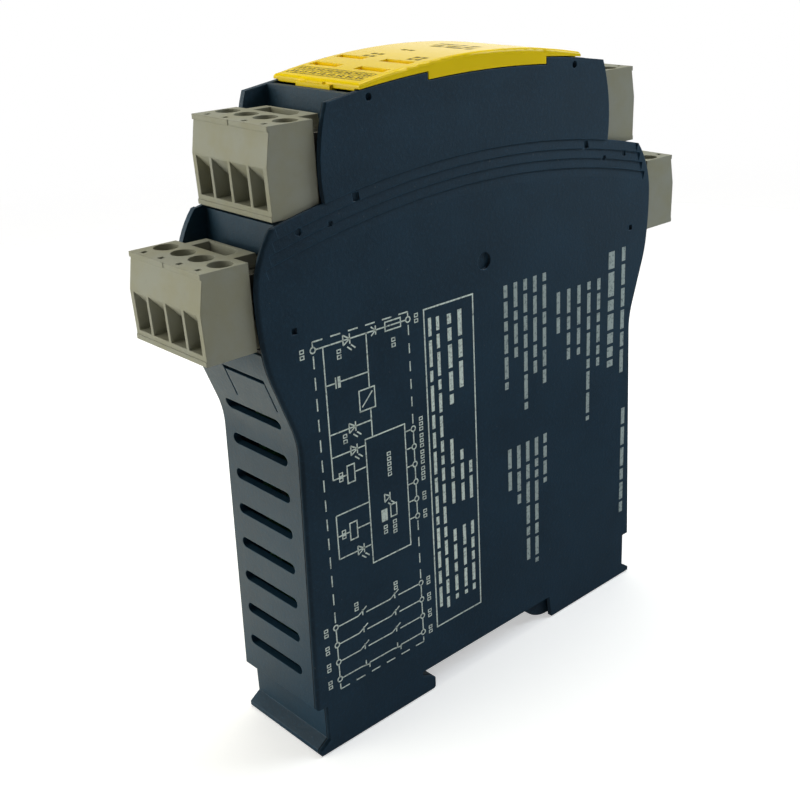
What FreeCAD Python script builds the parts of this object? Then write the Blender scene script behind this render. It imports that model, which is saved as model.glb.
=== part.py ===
import FreeCAD, Part
import math
import os

import Sketcher
from FreeCAD import Placement, Rotation, Vector

# A rail-mounted safety relay module, in millimetres. X runs along the module, Y across its
# width (the near cover is at minus Y) and Z up from the rail side, which stands at Z = 0.

doc = FreeCAD.newDocument("safety_relay_module")
sheet = doc.addObject("Spreadsheet::Sheet", "sizes")


class Size:
    """A number together with the sheet expression that gives it."""

    def __init__(self, value, text):
        self.value = float(value)
        self.text = text

    def __add__(self, other):
        other = as_size(other)
        return Size(self.value + other.value, f"({self.text} + {other.text})")

    def __radd__(self, other):
        return as_size(other) + self

    def __sub__(self, other):
        other = as_size(other)
        return Size(self.value - other.value, f"({self.text} - {other.text})")

    def __rsub__(self, other):
        return as_size(other) - self

    def __mul__(self, other):
        other = as_size(other)
        return Size(self.value * other.value, f"({self.text} * {other.text})")

    def __rmul__(self, other):
        return as_size(other) * self

    def __truediv__(self, other):
        other = as_size(other)
        return Size(self.value / other.value, f"({self.text} / {other.text})")

    def __neg__(self):
        return Size(-self.value, f"(0 - {self.text})")


def as_size(number):
    if isinstance(number, Size):
        return number
    return Size(number, f"({number!r})")


def root(number):
    return Size(math.sqrt(number.value), f"sqrt({number.text})")


row_count = 0


def size(alias, number, note):
    """Writes one driving dimension into the sheet and gives it back."""
    global row_count
    row_count += 1
    sheet.set(f"A{row_count}", note)
    sheet.set(f"B{row_count}", str(number))
    sheet.setAlias(f"B{row_count}", alias)
    return Size(number, f"sizes.{alias}")


# Whole module
module_height = size("module_height", 120.6, "height of the cap's crown over the rail side")
half_length = size("half_length", 48.9, "half length of the housing, between its flanks")
side_wall = size("side_wall", 1.1, "thickness of the two side plates")
end_wall = size("end_wall", 1.5, "thickness of the walls between the side plates")
seat_gap = size("seat_gap", 0.2, "clearance between pieces that fit beside each other")

# Terminal plugs. Their own frame starts near the top outer edge and runs into the module.
pole_pitch = size("pole_pitch", 5.08, "distance between poles")
pole_count = 4
plug_height = size("plug_height", 14.35, "height of a plug")
plug_block = size("plug_block", 8.05, "depth of a plug's front block")
plug_side = size("plug_side", 0.1, "how much narrower a plug is than its poles")
plug_gap = size("plug_gap", 0.04, "clearance between a plug and the side plates")
plug_lip = size("plug_lip", 0.85, "height of the lip along the top")
plug_top_out = size("plug_top_out", 0.45, "how far the lip's edge stands out")
plug_lip_out = size("plug_lip_out", 0.25, "how far the front lies back under the lip")
plug_lean = size("plug_lean", 1.1, "how far the front leans out at the kink")
plug_kink = size("plug_kink", 5.95, "depth of the kink below the top")
plug_ledge = size("plug_ledge", 1.05, "how far the foot stands out")
plug_ledge_height = size("plug_ledge_height", 0.8, "height of the foot band")
rear_length = size("rear_length", 7.85, "length of the plug's rear body")
rear_side = size("rear_side", 1.15, "how much narrower the rear body is on each side")
rear_drop = size("rear_drop", 1.7, "rear body's top below the plug's top")
platform_length = size("platform_length", 4.0, "length of the platform behind the wells")
platform_near = size("platform_near", -6.3, "near side of the platform")
platform_far = size("platform_far", 7.3, "far side of the platform")
coding_near = size("coding_near", -4.1, "near side of the coding pocket")
coding_far = size("coding_far", 5.4, "far side of the coding pocket")
coding_depth = size("coding_depth", 2.6, "depth of the coding pocket, which opens onto the contacts")
coding_rim = size("coding_rim", 0.7, "rim behind the coding pocket")
coding_chamfer = size("coding_chamfer", 1.6, "cut corner of the coding pocket")
well_radius = size("well_radius", 2.0, "radius of a screw well")
well_depth = size("well_depth", 3.9, "depth of a screw well")
well_x = size("well_x", 4.75, "screw axis behind the outer edge")
seat_thick = size("seat_thick", 0.5, "web under the screw head")
chamber_wall = size("chamber_wall", 0.78, "wall between two clamp chambers")
chamber_length = size("chamber_length", 4.9, "length of a clamp chamber")
floor_thick = size("floor_thick", 1.2, "floor under the clamp chambers")
funnel_top = size("funnel_top", 6.25, "top of the wire funnels below the plug's top")
funnel_bottom = size("funnel_bottom", 12.7, "bottom of the wire funnels")
funnel_depth = size("funnel_depth", 2.0, "how deep the funnels reach")
funnel_roof = size("funnel_roof", 9.8, "depth of the roof at the funnel's end")
funnel_rib = size("funnel_rib", 0.7, "rib between two funnels")
funnel_side = size("funnel_side", 1.0, "wall beside the outer funnels")
throat_width = size("throat_width", 3.2, "width of the hole behind a funnel")
throat_top = size("throat_top", 9.8, "top of that hole below the plug's top")
test_hole = size("test_hole", 0.95, "side of a square test hole")
test_hole_x = size("test_hole_x", 0.9, "test holes behind the outer edge")
test_hole_depth = size("test_hole_depth", 3.0, "depth of a test hole")

# Clamp screws, cages and contacts
head_gap = size("head_gap", 0.1, "radial clearance of a screw head in its well")
head_sink = size("head_sink", 2.0, "screw head below the plug's top")
screw_lift = size("screw_lift", 0.05, "clearance under a screw's head and tip")
shank_radius = size("shank_radius", 1.25, "radius of a screw's shank")
shank_gap = size("shank_gap", 0.05, "radial clearance of the shank in its cage")
slot_width = size("slot_width", 0.7, "width of a screw's slot")
slot_depth = size("slot_depth", 0.8, "depth of a screw's slot")
cage_gap = size("cage_gap", 0.2, "clearance of a cage in its chamber")
cage_wall = size("cage_wall", 0.7, "side walls of a cage")
cage_top = size("cage_top", 1.2, "threaded top wall of a cage")
cage_floor = size("cage_floor", 0.8, "bottom wall of a cage")
cage_travel = size("cage_travel", 1.5, "how far a cage rises")
bar_top = size("bar_top", 8.6, "contact bar below the plug's top")
bar_thick = size("bar_thick", 0.8, "thickness of the contact bar")
bar_half = size("bar_half", 1.1, "half width of the contact bar")
socket_half = size("socket_half", 1.45, "half width of the contact socket")
socket_top = size("socket_top", 2.3, "top of the contact socket below the plug's top")
socket_bottom = size("socket_bottom", 6.7, "bottom of the contact socket")
pin_side = size("pin_side", 1.0, "side of a header pin")
pin_depth = size("pin_depth", 5.0, "header pins below the plug's top")
pin_gap = size("pin_gap", 0.1, "clearance around a pin in its socket")
pin_reach = size("pin_reach", 6.3, "how far a pin reaches into the plug")
pin_step = size("pin_step", 2.0, "distance between the pins' bent legs")

# Headers
header_wall = size("header_wall", 3.0, "thickness of a header's base")
header_side = size("header_side", 0.85, "thickness of a header's side walls")
header_floor = size("header_floor", 0.65, "thickness of a header's floor")
header_drop = size("header_drop", 1.9, "header's top below the plug's top")
header_gap = size("header_gap", 0.3, "clearance between plug and header")

# Where the two tiers of terminals stand
lower_plug_out = size("lower_plug_out", 8.25, "how far the lower plugs' tops stand past the flanks")
upper_plug_inset = size("upper_plug_inset", 5.83, "upper plugs' outer edge, in from the flanks")
upper_plug_drop = size("upper_plug_drop", 6.82, "upper plugs' top below the crown")
tier_gap = size("tier_gap", 5.13, "free height between the two tiers of plugs")
plug_width = pole_pitch * pole_count - plug_side
half_width = plug_width / 2 + plug_gap + side_wall
inner_half = half_width - side_wall
near_seam = -inner_half
lower_plug_x = half_length + lower_plug_out
upper_plug_x = half_length - upper_plug_inset
upper_plug_z = module_height - upper_plug_drop
lower_plug_z = upper_plug_z - plug_height - tier_gap
plug_length = plug_block + rear_length
lower_bay_x = lower_plug_x - plug_length
upper_bay_x = upper_plug_x - plug_length
lower_header_x = lower_bay_x - header_gap - header_wall
upper_header_x = upper_bay_x - header_gap - header_wall
lower_floor_z = lower_plug_z - plug_height - header_gap - header_floor
upper_floor_z = upper_plug_z - plug_height - header_gap - header_floor

# Side outline of the housing, measured in from the flanks, down from the crown and from the
# lower bay's floor
cheek_inset = size("cheek_inset", 15.9, "upper cheek corner, in from the flank")
cheek_drop = size("cheek_drop", 4.5, "upper cheek corner, below the crown")
cheek_foot_inset = size("cheek_foot_inset", 14.2, "where the upper cheek meets the shoulder")
cheek_radius = size("cheek_radius", 30.0, "bulge of the upper cheek's edge")
ridge_radius = size("ridge_radius", 193.0, "radius of the shoulder ridge")
ridge_drop = size("ridge_drop", 16.6, "ridge's own crown below the module's crown")
shoulder_inset = size("shoulder_inset", 3.9, "outer end of the shoulder, in from the flank")
shoulder_radius = size("shoulder_radius", 17.0, "bulge under the shoulder's corner")
flank_drop = size("flank_drop", 5.3, "end of that bulge below the lower plugs' top")
flank_radius = size("flank_radius", 60.0, "bulge of the flank beside the lower plug")
flank_foot_inset = size("flank_foot_inset", 0.5, "flank's foot at the lower bay's floor")
belly_inset = size("belly_inset", 2.0, "where the end panel starts to slope in")
belly_drop = size("belly_drop", 6.0, "that point below the lower bay's floor")
belly_radius = size("belly_radius", 24.0, "round above the slope")
waist_top_inset = size("waist_top_inset", 4.6, "foot of the slope, in from the flank")
waist_top_drop = size("waist_top_drop", 7.4, "height of the slope")
waist_radius = size("waist_radius", 16.0, "hollow round under the slope")
waist_inset = size("waist_inset", 5.6, "waist, in from the flank")
waist_drop = size("waist_drop", 6.1, "height of the hollow round")
panel_foot_inset = size("panel_foot_inset", 4.2, "end panel's foot, in from the flank")
panel_foot_z = size("panel_foot_z", 10.0, "height of the end panel's foot")
neck_inset = size("neck_inset", 6.3, "neck above the foot, in from the flank")
lip_inset = size("lip_inset", 4.1, "foot's lip, in from the flank")
lip_top_z = size("lip_top_z", 0.9, "height of the lip's outer edge")
neck_foot_z = size("neck_foot_z", 2.4, "height where the neck turns into the lip")
cheek_top_x = half_length - cheek_inset
cheek_top_z = module_height - cheek_drop
cheek_foot_x = half_length - cheek_foot_inset
ridge_centre_z = module_height - ridge_drop - ridge_radius
shoulder_x = half_length - shoulder_inset
flank_z = lower_plug_z - flank_drop
flank_foot_x = half_length - flank_foot_inset
belly_x = half_length - belly_inset
belly_z = lower_floor_z - belly_drop
waist_top_x = half_length - waist_top_inset
waist_top_z = belly_z - waist_top_drop
waist_x = half_length - waist_inset
waist_z = waist_top_z - waist_drop
panel_foot_x = half_length - panel_foot_inset
neck_x = half_length - neck_inset
lip_x = half_length - lip_inset

# Rail seat
seat_z = size("seat_z", 5.2, "height of the rail seat")
seat_wall = size("seat_wall", 1.5, "thickness of the wall over the rail seat")
hook_groove_x = size("hook_groove_x", -19.5, "bottom of the fixed hook's groove")
hook_reach = size("hook_reach", 3.2, "how far the fixed hook reaches under the rail")
hook_drop = size("hook_drop", 1.2, "lip inside the groove, below the seat")
hook_gap = size("hook_gap", 1.2, "opening for the rail's edge")
hook_round = size("hook_round", 0.5, "round of the fixed hook's tip")
hook_curve = size("hook_curve", 0.55, "radius of that round")
core_count = 3
core_wall = size("core_wall", 1.3, "walls between the cores under the foot")
core_roof = size("core_roof", 1.5, "roof over the cores under the foot")
hook_groove_z = seat_z - hook_drop
hook_tip_x = hook_groove_x + hook_reach
hook_tip_z = hook_groove_z - hook_gap

# Relief and marks of the side plates
relief_step = size("relief_step", 1.78, "distance from ridge to ridge")
relief_depth = size("relief_depth", 0.42, "depth under each ridge")
relief_margin = size("relief_margin", 0.6, "upper ridge's end, in from the shoulder's corner")
relief_shear = size("relief_shear", 0.8, "how much further each lower ridge runs")
relief_count = 4
mark_depth = size("mark_depth", 0.6, "depth of the small marks in the cover")
recess_radius = size("recess_radius", 1.65, "radius of the round recess in the cover's middle")
recess_drop = size("recess_drop", 36.55, "middle of that recess below the crown")
ejector_radius = size("ejector_radius", 0.65, "radius of the ejector marks at the shoulders")
ejector_inset = size("ejector_inset", 8.8, "ejector marks, in from the flank")
ejector_drop = size("ejector_drop", 23.2, "ejector marks below the crown")
ejector_depth = size("ejector_depth", 0.5, "depth of the ejector marks")

# Front cap
cap_end_gap = size("cap_end_gap", 0.77, "gap between the cap's ends and the bay walls")
cap_rim = size("cap_rim", 1.74, "crown's height over the cap's lower edge at the middle")
cap_top_fall = size("cap_top_fall", 2.51, "how far the cap's top falls towards its ends")
cap_edge_fall = size("cap_edge_fall", 1.58, "how far its lower edge falls towards its ends")
cap_end_drop = size("cap_end_drop", 0.3, "how far the cap's end ledges hang below its edge")
cap_end_thick = size("cap_end_thick", 1.1, "thickness of those ledges")
skirt_left_x = size("skirt_left_x", -11.8, "left end of the cap's skirt")
skirt_right_x = size("skirt_right_x", 16.9, "right end of the cap's skirt")
skirt_drop = size("skirt_drop", 1.3, "how far the skirt hangs below the edge")
cap_round = size("cap_round", 0.6, "round of the cap's top edges")
cap_slot_inset = size("cap_slot_inset", 7.1, "first row of recesses, in from the cap's left end")
cap_slot_step = size("cap_slot_step", 5.6, "distance to the second row")
cap_slot_length = size("cap_slot_length", 7.4, "length of a recess across the cap")
cap_slot_width = size("cap_slot_width", 1.8, "width of a recess")
cap_slot_depth = size("cap_slot_depth", 0.7, "depth of a recess")
cap_slot_y = size("cap_slot_y", 5.9, "middle of a recess from the centre line")
cap_lip_width = size("cap_lip_width", 5.0, "width of the lip that a screwdriver lifts")
cap_lip_out = size("cap_lip_out", 0.4, "how far that lip stands out")
cap_leg_length = size("cap_leg_length", 4.4, "length of the cap's legs")
cap_leg = size("cap_leg", 1.2, "thickness of the cap's legs")
cap_leg_width = size("cap_leg_width", 9.0, "width of the cap's legs")
cap_half = upper_bay_x - cap_end_gap
cap_edge_z = module_height - cap_rim
cap_slot_x = cap_slot_inset - cap_half
cap_top_radius = (cap_half * cap_half + cap_top_fall * cap_top_fall) / (2 * cap_top_fall)
cap_edge_radius = (cap_half * cap_half + cap_edge_fall * cap_edge_fall) / (2 * cap_edge_fall)

# End panels
vent_count = 8
vent_foot = size("vent_foot", 6.5, "lowest vent slot above the panel's foot")
vent_rise = size("vent_rise", 5.3, "highest vent slot above the waist")
vent_length = size("vent_length", 15.9, "length of a vent slot")
vent_height = size("vent_height", 2.0, "height of a vent slot")
vent_y = size("vent_y", 0.9, "middle of the vent slots")
tongue_near = size("tongue_near", -7.9, "near side of the snap tongue")
tongue_far = size("tongue_far", 3.0, "far side of the snap tongue")
tongue_rise = size("tongue_rise", 0.3, "top of the snap tongue above the slope's top")
tongue_length = size("tongue_length", 5.4, "length of the snap tongue")
tongue_slit = size("tongue_slit", 0.4, "slits beside the snap tongue")
tongue_slit_top = size("tongue_slit_top", 0.8, "slit above the snap tongue")
vent_z = panel_foot_z + vent_foot
vent_pitch = (waist_z + vent_rise - vent_z) / (vent_count - 1)
tongue_top = belly_z + tongue_rise
tongue_foot = tongue_top - tongue_length

# Rail latch
latch_nose_x = size("latch_nose_x", 12.0, "tip of the latch's nose")
latch_nose_drop = size("latch_nose_drop", 1.3, "top of the latch's nose below the rail seat")
latch_nose_tip = size("latch_nose_tip", 0.7, "height of the nose's blunt tip")
latch_nose_reach = size("latch_nose_reach", 5.0, "how far the nose reaches under the rail")
latch_ramp_back = size("latch_ramp_back", 1.0, "foot of the nose's ramp, behind the rail's edge")
latch_ramp_radius = size("latch_ramp_radius", 9.0, "bulge of the nose's ramp")
latch_side_gap = size("latch_side_gap", 1.3, "side plates' edge, behind the rail's edge")
latch_side_lean = size("latch_side_lean", 0.7, "lean of that edge over its height")
latch_neck_back = size("latch_neck_back", 2.3, "where the wide nose ends, behind the rail's edge")
latch_low = size("latch_low", 0.4, "latch's underside above the feet")
latch_tail_out = size("latch_tail_out", 1.3, "how far the latch's tail stands past the neck")
latch_half = size("latch_half", 7.0, "half width of the latch's tail")
latch_tongue = size("latch_tongue", 1.0, "width of the tongues beside the tail")
latch_travel = size("latch_travel", 4.5, "how far the latch slides out")
guide_top = size("guide_top", 1.5, "height of the guides' ledges")
window_inset = size("window_inset", 2.1, "latch's spring window, in from the neck")
window_length = size("window_length", 11.5, "length of the spring window")
window_half = size("window_half", 2.9, "half width of the spring window")
post_thick = size("post_thick", 1.5, "thickness of the spring's post")
spring_radius = size("spring_radius", 1.75, "middle radius of the spring's coils")
spring_wire = size("spring_wire", 0.3, "radius of the spring's wire")
spring_turns = 6
eye_inset = size("eye_inset", 0.9, "screwdriver's eye, in from the neck")
eye_length = size("eye_length", 1.2, "length of the screwdriver's eye")
eye_half = size("eye_half", 2.4, "half width of the screwdriver's eye")
latch_nose_top = seat_z - latch_nose_drop
latch_high = seat_z - 2 * seat_gap
latch_stop_x = latch_nose_x + latch_nose_reach
latch_ramp_x = latch_stop_x + latch_ramp_back
latch_side_x = latch_stop_x + latch_side_gap
latch_neck_x = latch_stop_x + latch_neck_back
latch_end_x = neck_x + latch_tail_out
guide_start_x = latch_neck_x + latch_travel + seat_gap
window_end_x = neck_x - window_inset
window_start_x = window_end_x - window_length
eye_x = neck_x - eye_inset
spring_z = (seat_z + seat_gap) / 2

# Boards and what they carry
board_thick = size("board_thick", 1.5, "thickness of the main board")
board_gap = size("board_gap", 0.05, "main board's clearance to the far wall")
board_foot_gap = size("board_foot_gap", 2.3, "main board's foot above the wall over the rail seat")
board_end_gap = size("board_end_gap", 0.4, "main board's ends to the headers")
board_rise = size("board_rise", 2.5, "how far the main board passes the front board")
front_board_drop = size("front_board_drop", 9.6, "underside of the front board below the crown")
front_board_thick = size("front_board_thick", 1.2, "thickness of the front board")
front_board_gap = size("front_board_gap", 0.95, "front board's clearance to the near cover")
relay_length = size("relay_length", 55.0, "length of a relay")
relay_width = size("relay_width", 16.4, "width of a relay")
relay_gap = size("relay_gap", 4.8, "gap between the relays")
relay_thick = size("relay_thick", 15.8, "how far a relay stands off the board")
relay_top_gap = size("relay_top_gap", 10.7, "gap between the relays and the capacitor")
relay_round = size("relay_round", 0.8, "round of a relay's edges")
capacitor_radius = size("capacitor_radius", 6.3, "radius of the capacitor")
capacitor_length = size("capacitor_length", 16.0, "how far the capacitor stands off the board")
capacitor_drop = size("capacitor_drop", 2.3, "capacitor's axis below the lower plugs' top")
chip_side = size("chip_side", 10.0, "side of the logic chip")
chip_thick = size("chip_thick", 1.6, "thickness of the logic chip")
chip_x = size("chip_x", -28.0, "middle of the logic chip")
chip_z = size("chip_z", 58.0, "height of the logic chip's middle")
led_radius = size("led_radius", 1.5, "radius of a status light")
led_height = size("led_height", 3.8, "height of a status light's straight part")
switch_x = size("switch_x", 6.0, "middle of the function switch")
switch_length = size("switch_length", 9.0, "length of the switch's case")
switch_width = size("switch_width", 4.6, "width of the switch's case")
switch_height = size("switch_height", 3.4, "height of the switch's case")
slider_length = size("slider_length", 2.2, "length of the slider")
slider_width = size("slider_width", 1.8, "width of the slider")
slider_sink = size("slider_sink", 1.6, "depth of the slider's slot")
slider_out = size("slider_out", 1.4, "how far the slider stands out")
slider_travel = size("slider_travel", 3.0, "travel of the slider")
board_face = inner_half - board_gap - board_thick
board_foot_z = seat_z + seat_wall + board_foot_gap
board_half = lower_header_x - board_end_gap
board_crown_half = upper_header_x - board_end_gap
front_board_half = board_crown_half - 2 * seat_gap
front_board_near = near_seam + front_board_gap
front_board_z = module_height - front_board_drop
board_top_z = front_board_z + board_rise
capacitor_z = lower_plug_z - capacitor_drop
relay_x = (relay_width + relay_gap) / 2
relay_foot_z = capacitor_z - capacitor_radius - relay_top_gap - relay_length

doc.recompute()

PLANES = {"XY": "XY_Plane", "XZ": "XZ_Plane", "YZ": "YZ_Plane"}


def bind(thing, path, number):
    """Ties one property of an object to the sheet."""
    thing.setExpression(path, as_size(number).text)


def new_body(label):
    body = doc.addObject("PartDesign::Body", label)
    body.Label = label
    return body


def plane_sketch(body, name, plane, offset=0.0):
    """A sketch on one of the body's own planes, moved along the plane's normal."""
    sketch = body.newObject("Sketcher::SketchObject", name)
    wanted = PLANES[plane]
    support = [item for item in body.Origin.OriginFeatures if item.Role == wanted][0]
    offset = as_size(offset)
    sketch.AttachmentSupport = (support, [""])
    sketch.MapMode = "FlatFace"
    sketch.AttachmentOffset = Placement(Vector(0, 0, offset.value), Rotation())
    bind(sketch, "AttachmentOffset.Base.z", offset)
    return sketch


def pin_down(sketch, entries):
    """Adds the constraints of one loop and ties the measured ones to the sheet."""
    first = sketch.ConstraintCount
    sketch.addConstraint([constraint for constraint, number in entries])
    for index, (constraint, number) in enumerate(entries):
        if number is not None:
            sketch.setExpression(f"Constraints[{first + index}]", number.text)


def arc_between(start, end, radius):
    """The short arc between two points; a positive radius turns clockwise."""
    middle = (start + end) * 0.5
    chord = end - start
    across = Vector(chord.y, -chord.x, 0).normalize()
    side = 1 if radius > 0 else -1
    reach = math.sqrt(radius * radius - (chord.Length / 2) ** 2)
    centre = middle + across * (side * reach)
    first, last = (end, start) if side > 0 else (start, end)
    angles = [math.atan2(p.y - centre.y, p.x - centre.x) for p in (first, last)]
    if angles[1] < angles[0]:
        angles[1] += 2 * math.pi
    circle = Part.Circle(centre, Vector(0, 0, 1), abs(radius))
    return Part.ArcOfCircle(circle, angles[0], angles[1])


def loop(sketch, corners):
    """A closed wire through the corners. A corner (x, y, radius) is reached by an arc."""
    corners = [tuple(as_size(part) for part in corner) for corner in corners]
    points = [Vector(corner[0].value, corner[1].value, 0) for corner in corners]
    count = len(corners)
    shapes = []
    ends = []
    first = sketch.GeometryCount
    for index in range(count):
        start = points[index]
        after = (index + 1) % count
        if len(corners[after]) == 3:
            radius = corners[after][2].value
            shapes.append(arc_between(start, points[after], radius))
            ends.append((2, 1) if radius > 0 else (1, 2))
        else:
            shapes.append(Part.LineSegment(start, points[after]))
            ends.append((1, 2))
    sketch.addGeometry(shapes, False)
    entries = []
    for index in range(count):
        edge = first + index
        before = first + (index - 1) % count
        begin = ends[index][0]
        finish = ends[(index - 1) % count][1]
        x, y = corners[index][0], corners[index][1]
        entries.append((Sketcher.Constraint("Coincident", before, finish, edge, begin), None))
        entries.append((Sketcher.Constraint("DistanceX", -1, 1, edge, begin, x.value), x))
        entries.append((Sketcher.Constraint("DistanceY", -1, 1, edge, begin, y.value), y))
        after = corners[(index + 1) % count]
        if len(after) == 3:
            radius = after[2] if after[2].value > 0 else -after[2]
            entries.append((Sketcher.Constraint("Radius", edge, radius.value), radius))
    pin_down(sketch, entries)


def rectangle(sketch, x0, y0, x1, y1):
    loop(sketch, [(x0, y0), (x1, y0), (x1, y1), (x0, y1)])


def circle(sketch, x, y, radius):
    x, y, radius = as_size(x), as_size(y), as_size(radius)
    edge = sketch.GeometryCount
    sketch.addGeometry(Part.Circle(Vector(x.value, y.value, 0), Vector(0, 0, 1), radius.value), False)
    pin_down(sketch, [
        (Sketcher.Constraint("DistanceX", -1, 1, edge, 3, x.value), x),
        (Sketcher.Constraint("DistanceY", -1, 1, edge, 3, y.value), y),
        (Sketcher.Constraint("Radius", edge, radius.value), radius),
    ])


def extrude(body, kind, sketch, length, flip=False):
    """A Pad or Pocket of the sketch, along its normal or against it."""
    feature = body.newObject(f"PartDesign::{kind}", f"{sketch.Name}_{kind}")
    feature.Profile = sketch
    feature.Length = as_size(length).value
    bind(feature, "Length", length)
    feature.Reversed = flip
    feature.Refine = False
    return feature


def finished(body):
    """The body with its flat faces merged, once, by its last feature."""
    body.Tip.Refine = True
    return body


def slab(body, name, draw, near, far, kind="Pad"):
    """Pads or pockets a side profile (X, Z) from Y = near to Y = far."""
    near, far = as_size(near), as_size(far)
    sketch = plane_sketch(body, name, "XZ", -far)
    draw(sketch)
    return extrude(body, kind, sketch, far - near, kind == "Pocket")


def layer(body, name, draw, low, high, kind="Pad"):
    """Pads or pockets a plan (X, Y) from Z = low to Z = high."""
    low, high = as_size(low), as_size(high)
    sketch = plane_sketch(body, name, "XY", low)
    draw(sketch)
    return extrude(body, kind, sketch, high - low, kind == "Pocket")


def bar_cut(body, name, draw, start, end, kind="Pocket"):
    """Pockets or pads an end view (Y, Z) from X = start to X = end."""
    start, end = as_size(start), as_size(end)
    sketch = plane_sketch(body, name, "YZ", start)
    draw(sketch)
    return extrude(body, kind, sketch, end - start, kind == "Pocket")


def round_edges(body, name, radius, wanted):
    """Rounds the edges of the body's last feature that the test picks."""
    doc.recompute()
    base = body.Tip
    names = [f"Edge{i + 1}" for i, edge in enumerate(base.Shape.Edges) if wanted(edge)]
    fillet = body.newObject("PartDesign::Fillet", name)
    fillet.Base = (base, names)
    fillet.Radius = as_size(radius).value
    bind(fillet, "Radius", radius)
    return fillet


def ridge_z(x, radius):
    """Height of a ridge of the given radius at x."""
    return ridge_centre_z + root(radius * radius - x * x)


def crown_z(x, top, radius):
    """Height at x of an arc whose highest point is top."""
    return top - radius + root(radius * radius - x * x)


# Side outline, which both side plates share

def flank_points(side):
    """The outline from the shoulder down to the end panel's foot, outwards on one side."""
    return [
        (side * flank_foot_x, lower_floor_z, side * flank_radius),
        (side * belly_x, belly_z, side * belly_radius),
        (side * waist_top_x, waist_top_z),
        (side * waist_x, waist_z, -side * waist_radius),
        (side * panel_foot_x, panel_foot_z),
        (side * neck_x, panel_foot_z),
        (side * neck_x, neck_foot_z),
        (side * lip_x, lip_top_z),
        (side * lip_x, 0.0),
    ]


def backwards(points):
    """The same stretch walked the other way, with each arc kept on its own edge."""
    turned = []
    for index in range(len(points) - 1, -1, -1):
        x, z = points[index][0], points[index][1]
        if index + 1 < len(points) and len(points[index + 1]) == 3:
            turned.append((x, z, -points[index + 1][2]))
        else:
            turned.append((x, z))
    return turned


def hook_points():
    """Rail seat from the latch side to the fixed hook, walked towards minus X."""
    return [
        (latch_side_x, 0.0),
        (latch_side_x - latch_side_lean, seat_z),
        (hook_groove_x, seat_z),
        (hook_groove_x, hook_groove_z),
        (hook_tip_x - hook_round, hook_tip_z),
        (hook_tip_x, hook_tip_z - hook_round, hook_curve),
        (hook_tip_x, hook_round),
        (hook_tip_x - hook_round, 0.0, hook_curve),
    ]


def plate_outline(sketch):
    """The whole outline of a side plate, clockwise from the cap's left end."""
    edge_top = cap_edge_z - seat_gap
    skirt_top = edge_top - skirt_drop
    left, right = skirt_left_x - seat_gap, skirt_right_x + seat_gap
    cap_end_z = crown_z(cap_half, edge_top, cap_edge_radius)
    right_down = [
        (cheek_top_x, cheek_top_z),
        (cheek_foot_x, ridge_z(cheek_foot_x, ridge_radius), cheek_radius),
        (shoulder_x, ridge_z(shoulder_x, ridge_radius), ridge_radius),
        (half_length, flank_z, shoulder_radius),
    ]
    left_down = [
        (-cheek_top_x, cheek_top_z),
        (-cheek_foot_x, ridge_z(cheek_foot_x, ridge_radius), -cheek_radius),
        (-shoulder_x, ridge_z(shoulder_x, ridge_radius), -ridge_radius),
        (-half_length, flank_z, -shoulder_radius),
    ]
    corners = [
        (-cap_half, cap_end_z),
        (left, crown_z(left, edge_top, cap_edge_radius), cap_edge_radius),
        (left, crown_z(left, skirt_top, cap_edge_radius)),
        (right, crown_z(right, skirt_top, cap_edge_radius), cap_edge_radius),
        (right, crown_z(right, edge_top, cap_edge_radius)),
        (cap_half, cap_end_z, cap_edge_radius),
    ]
    corners += right_down + flank_points(1)
    corners += hook_points()
    corners += backwards(left_down + flank_points(-1))
    loop(sketch, corners)


def cut_relief(body, face_y, inward):
    """Shingled ridges: each band is deepest under its upper ridge and runs out to the face."""
    for index in range(relief_count):
        upper = ridge_radius - index * relief_step
        lower = upper - relief_step
        reach = shoulder_x - relief_margin + index * relief_shear
        sketch = body.newObject("Sketcher::SketchObject", f"ridge_{index + 1}")
        support = [item for item in body.Origin.OriginFeatures if item.Role == "YZ_Plane"][0]
        sketch.AttachmentSupport = (support, [""])
        sketch.MapMode = "FlatFace"
        sketch.AttachmentOffset = Placement(Vector(0, ridge_centre_z.value, 0), Rotation())
        bind(sketch, "AttachmentOffset.Base.y", ridge_centre_z)
        deep = face_y + inward * relief_depth
        proud = face_y - inward * relief_depth
        loop(sketch, [(proud, upper), (deep, upper), (face_y, lower), (proud, lower)])
        groove = body.newObject("PartDesign::Groove", f"band_{index + 1}")
        groove.Profile = sketch
        groove.ReferenceAxis = (sketch, ["H_Axis"])
        groove.Midplane = True
        groove.Angle = 2 * math.degrees(math.asin(reach.value / upper.value))
        groove.setExpression("Angle", f"2 * asin({reach.text} / {upper.text})")


# Housing shell: far side plate, end walls, floors and rail foot in one moulding

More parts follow.
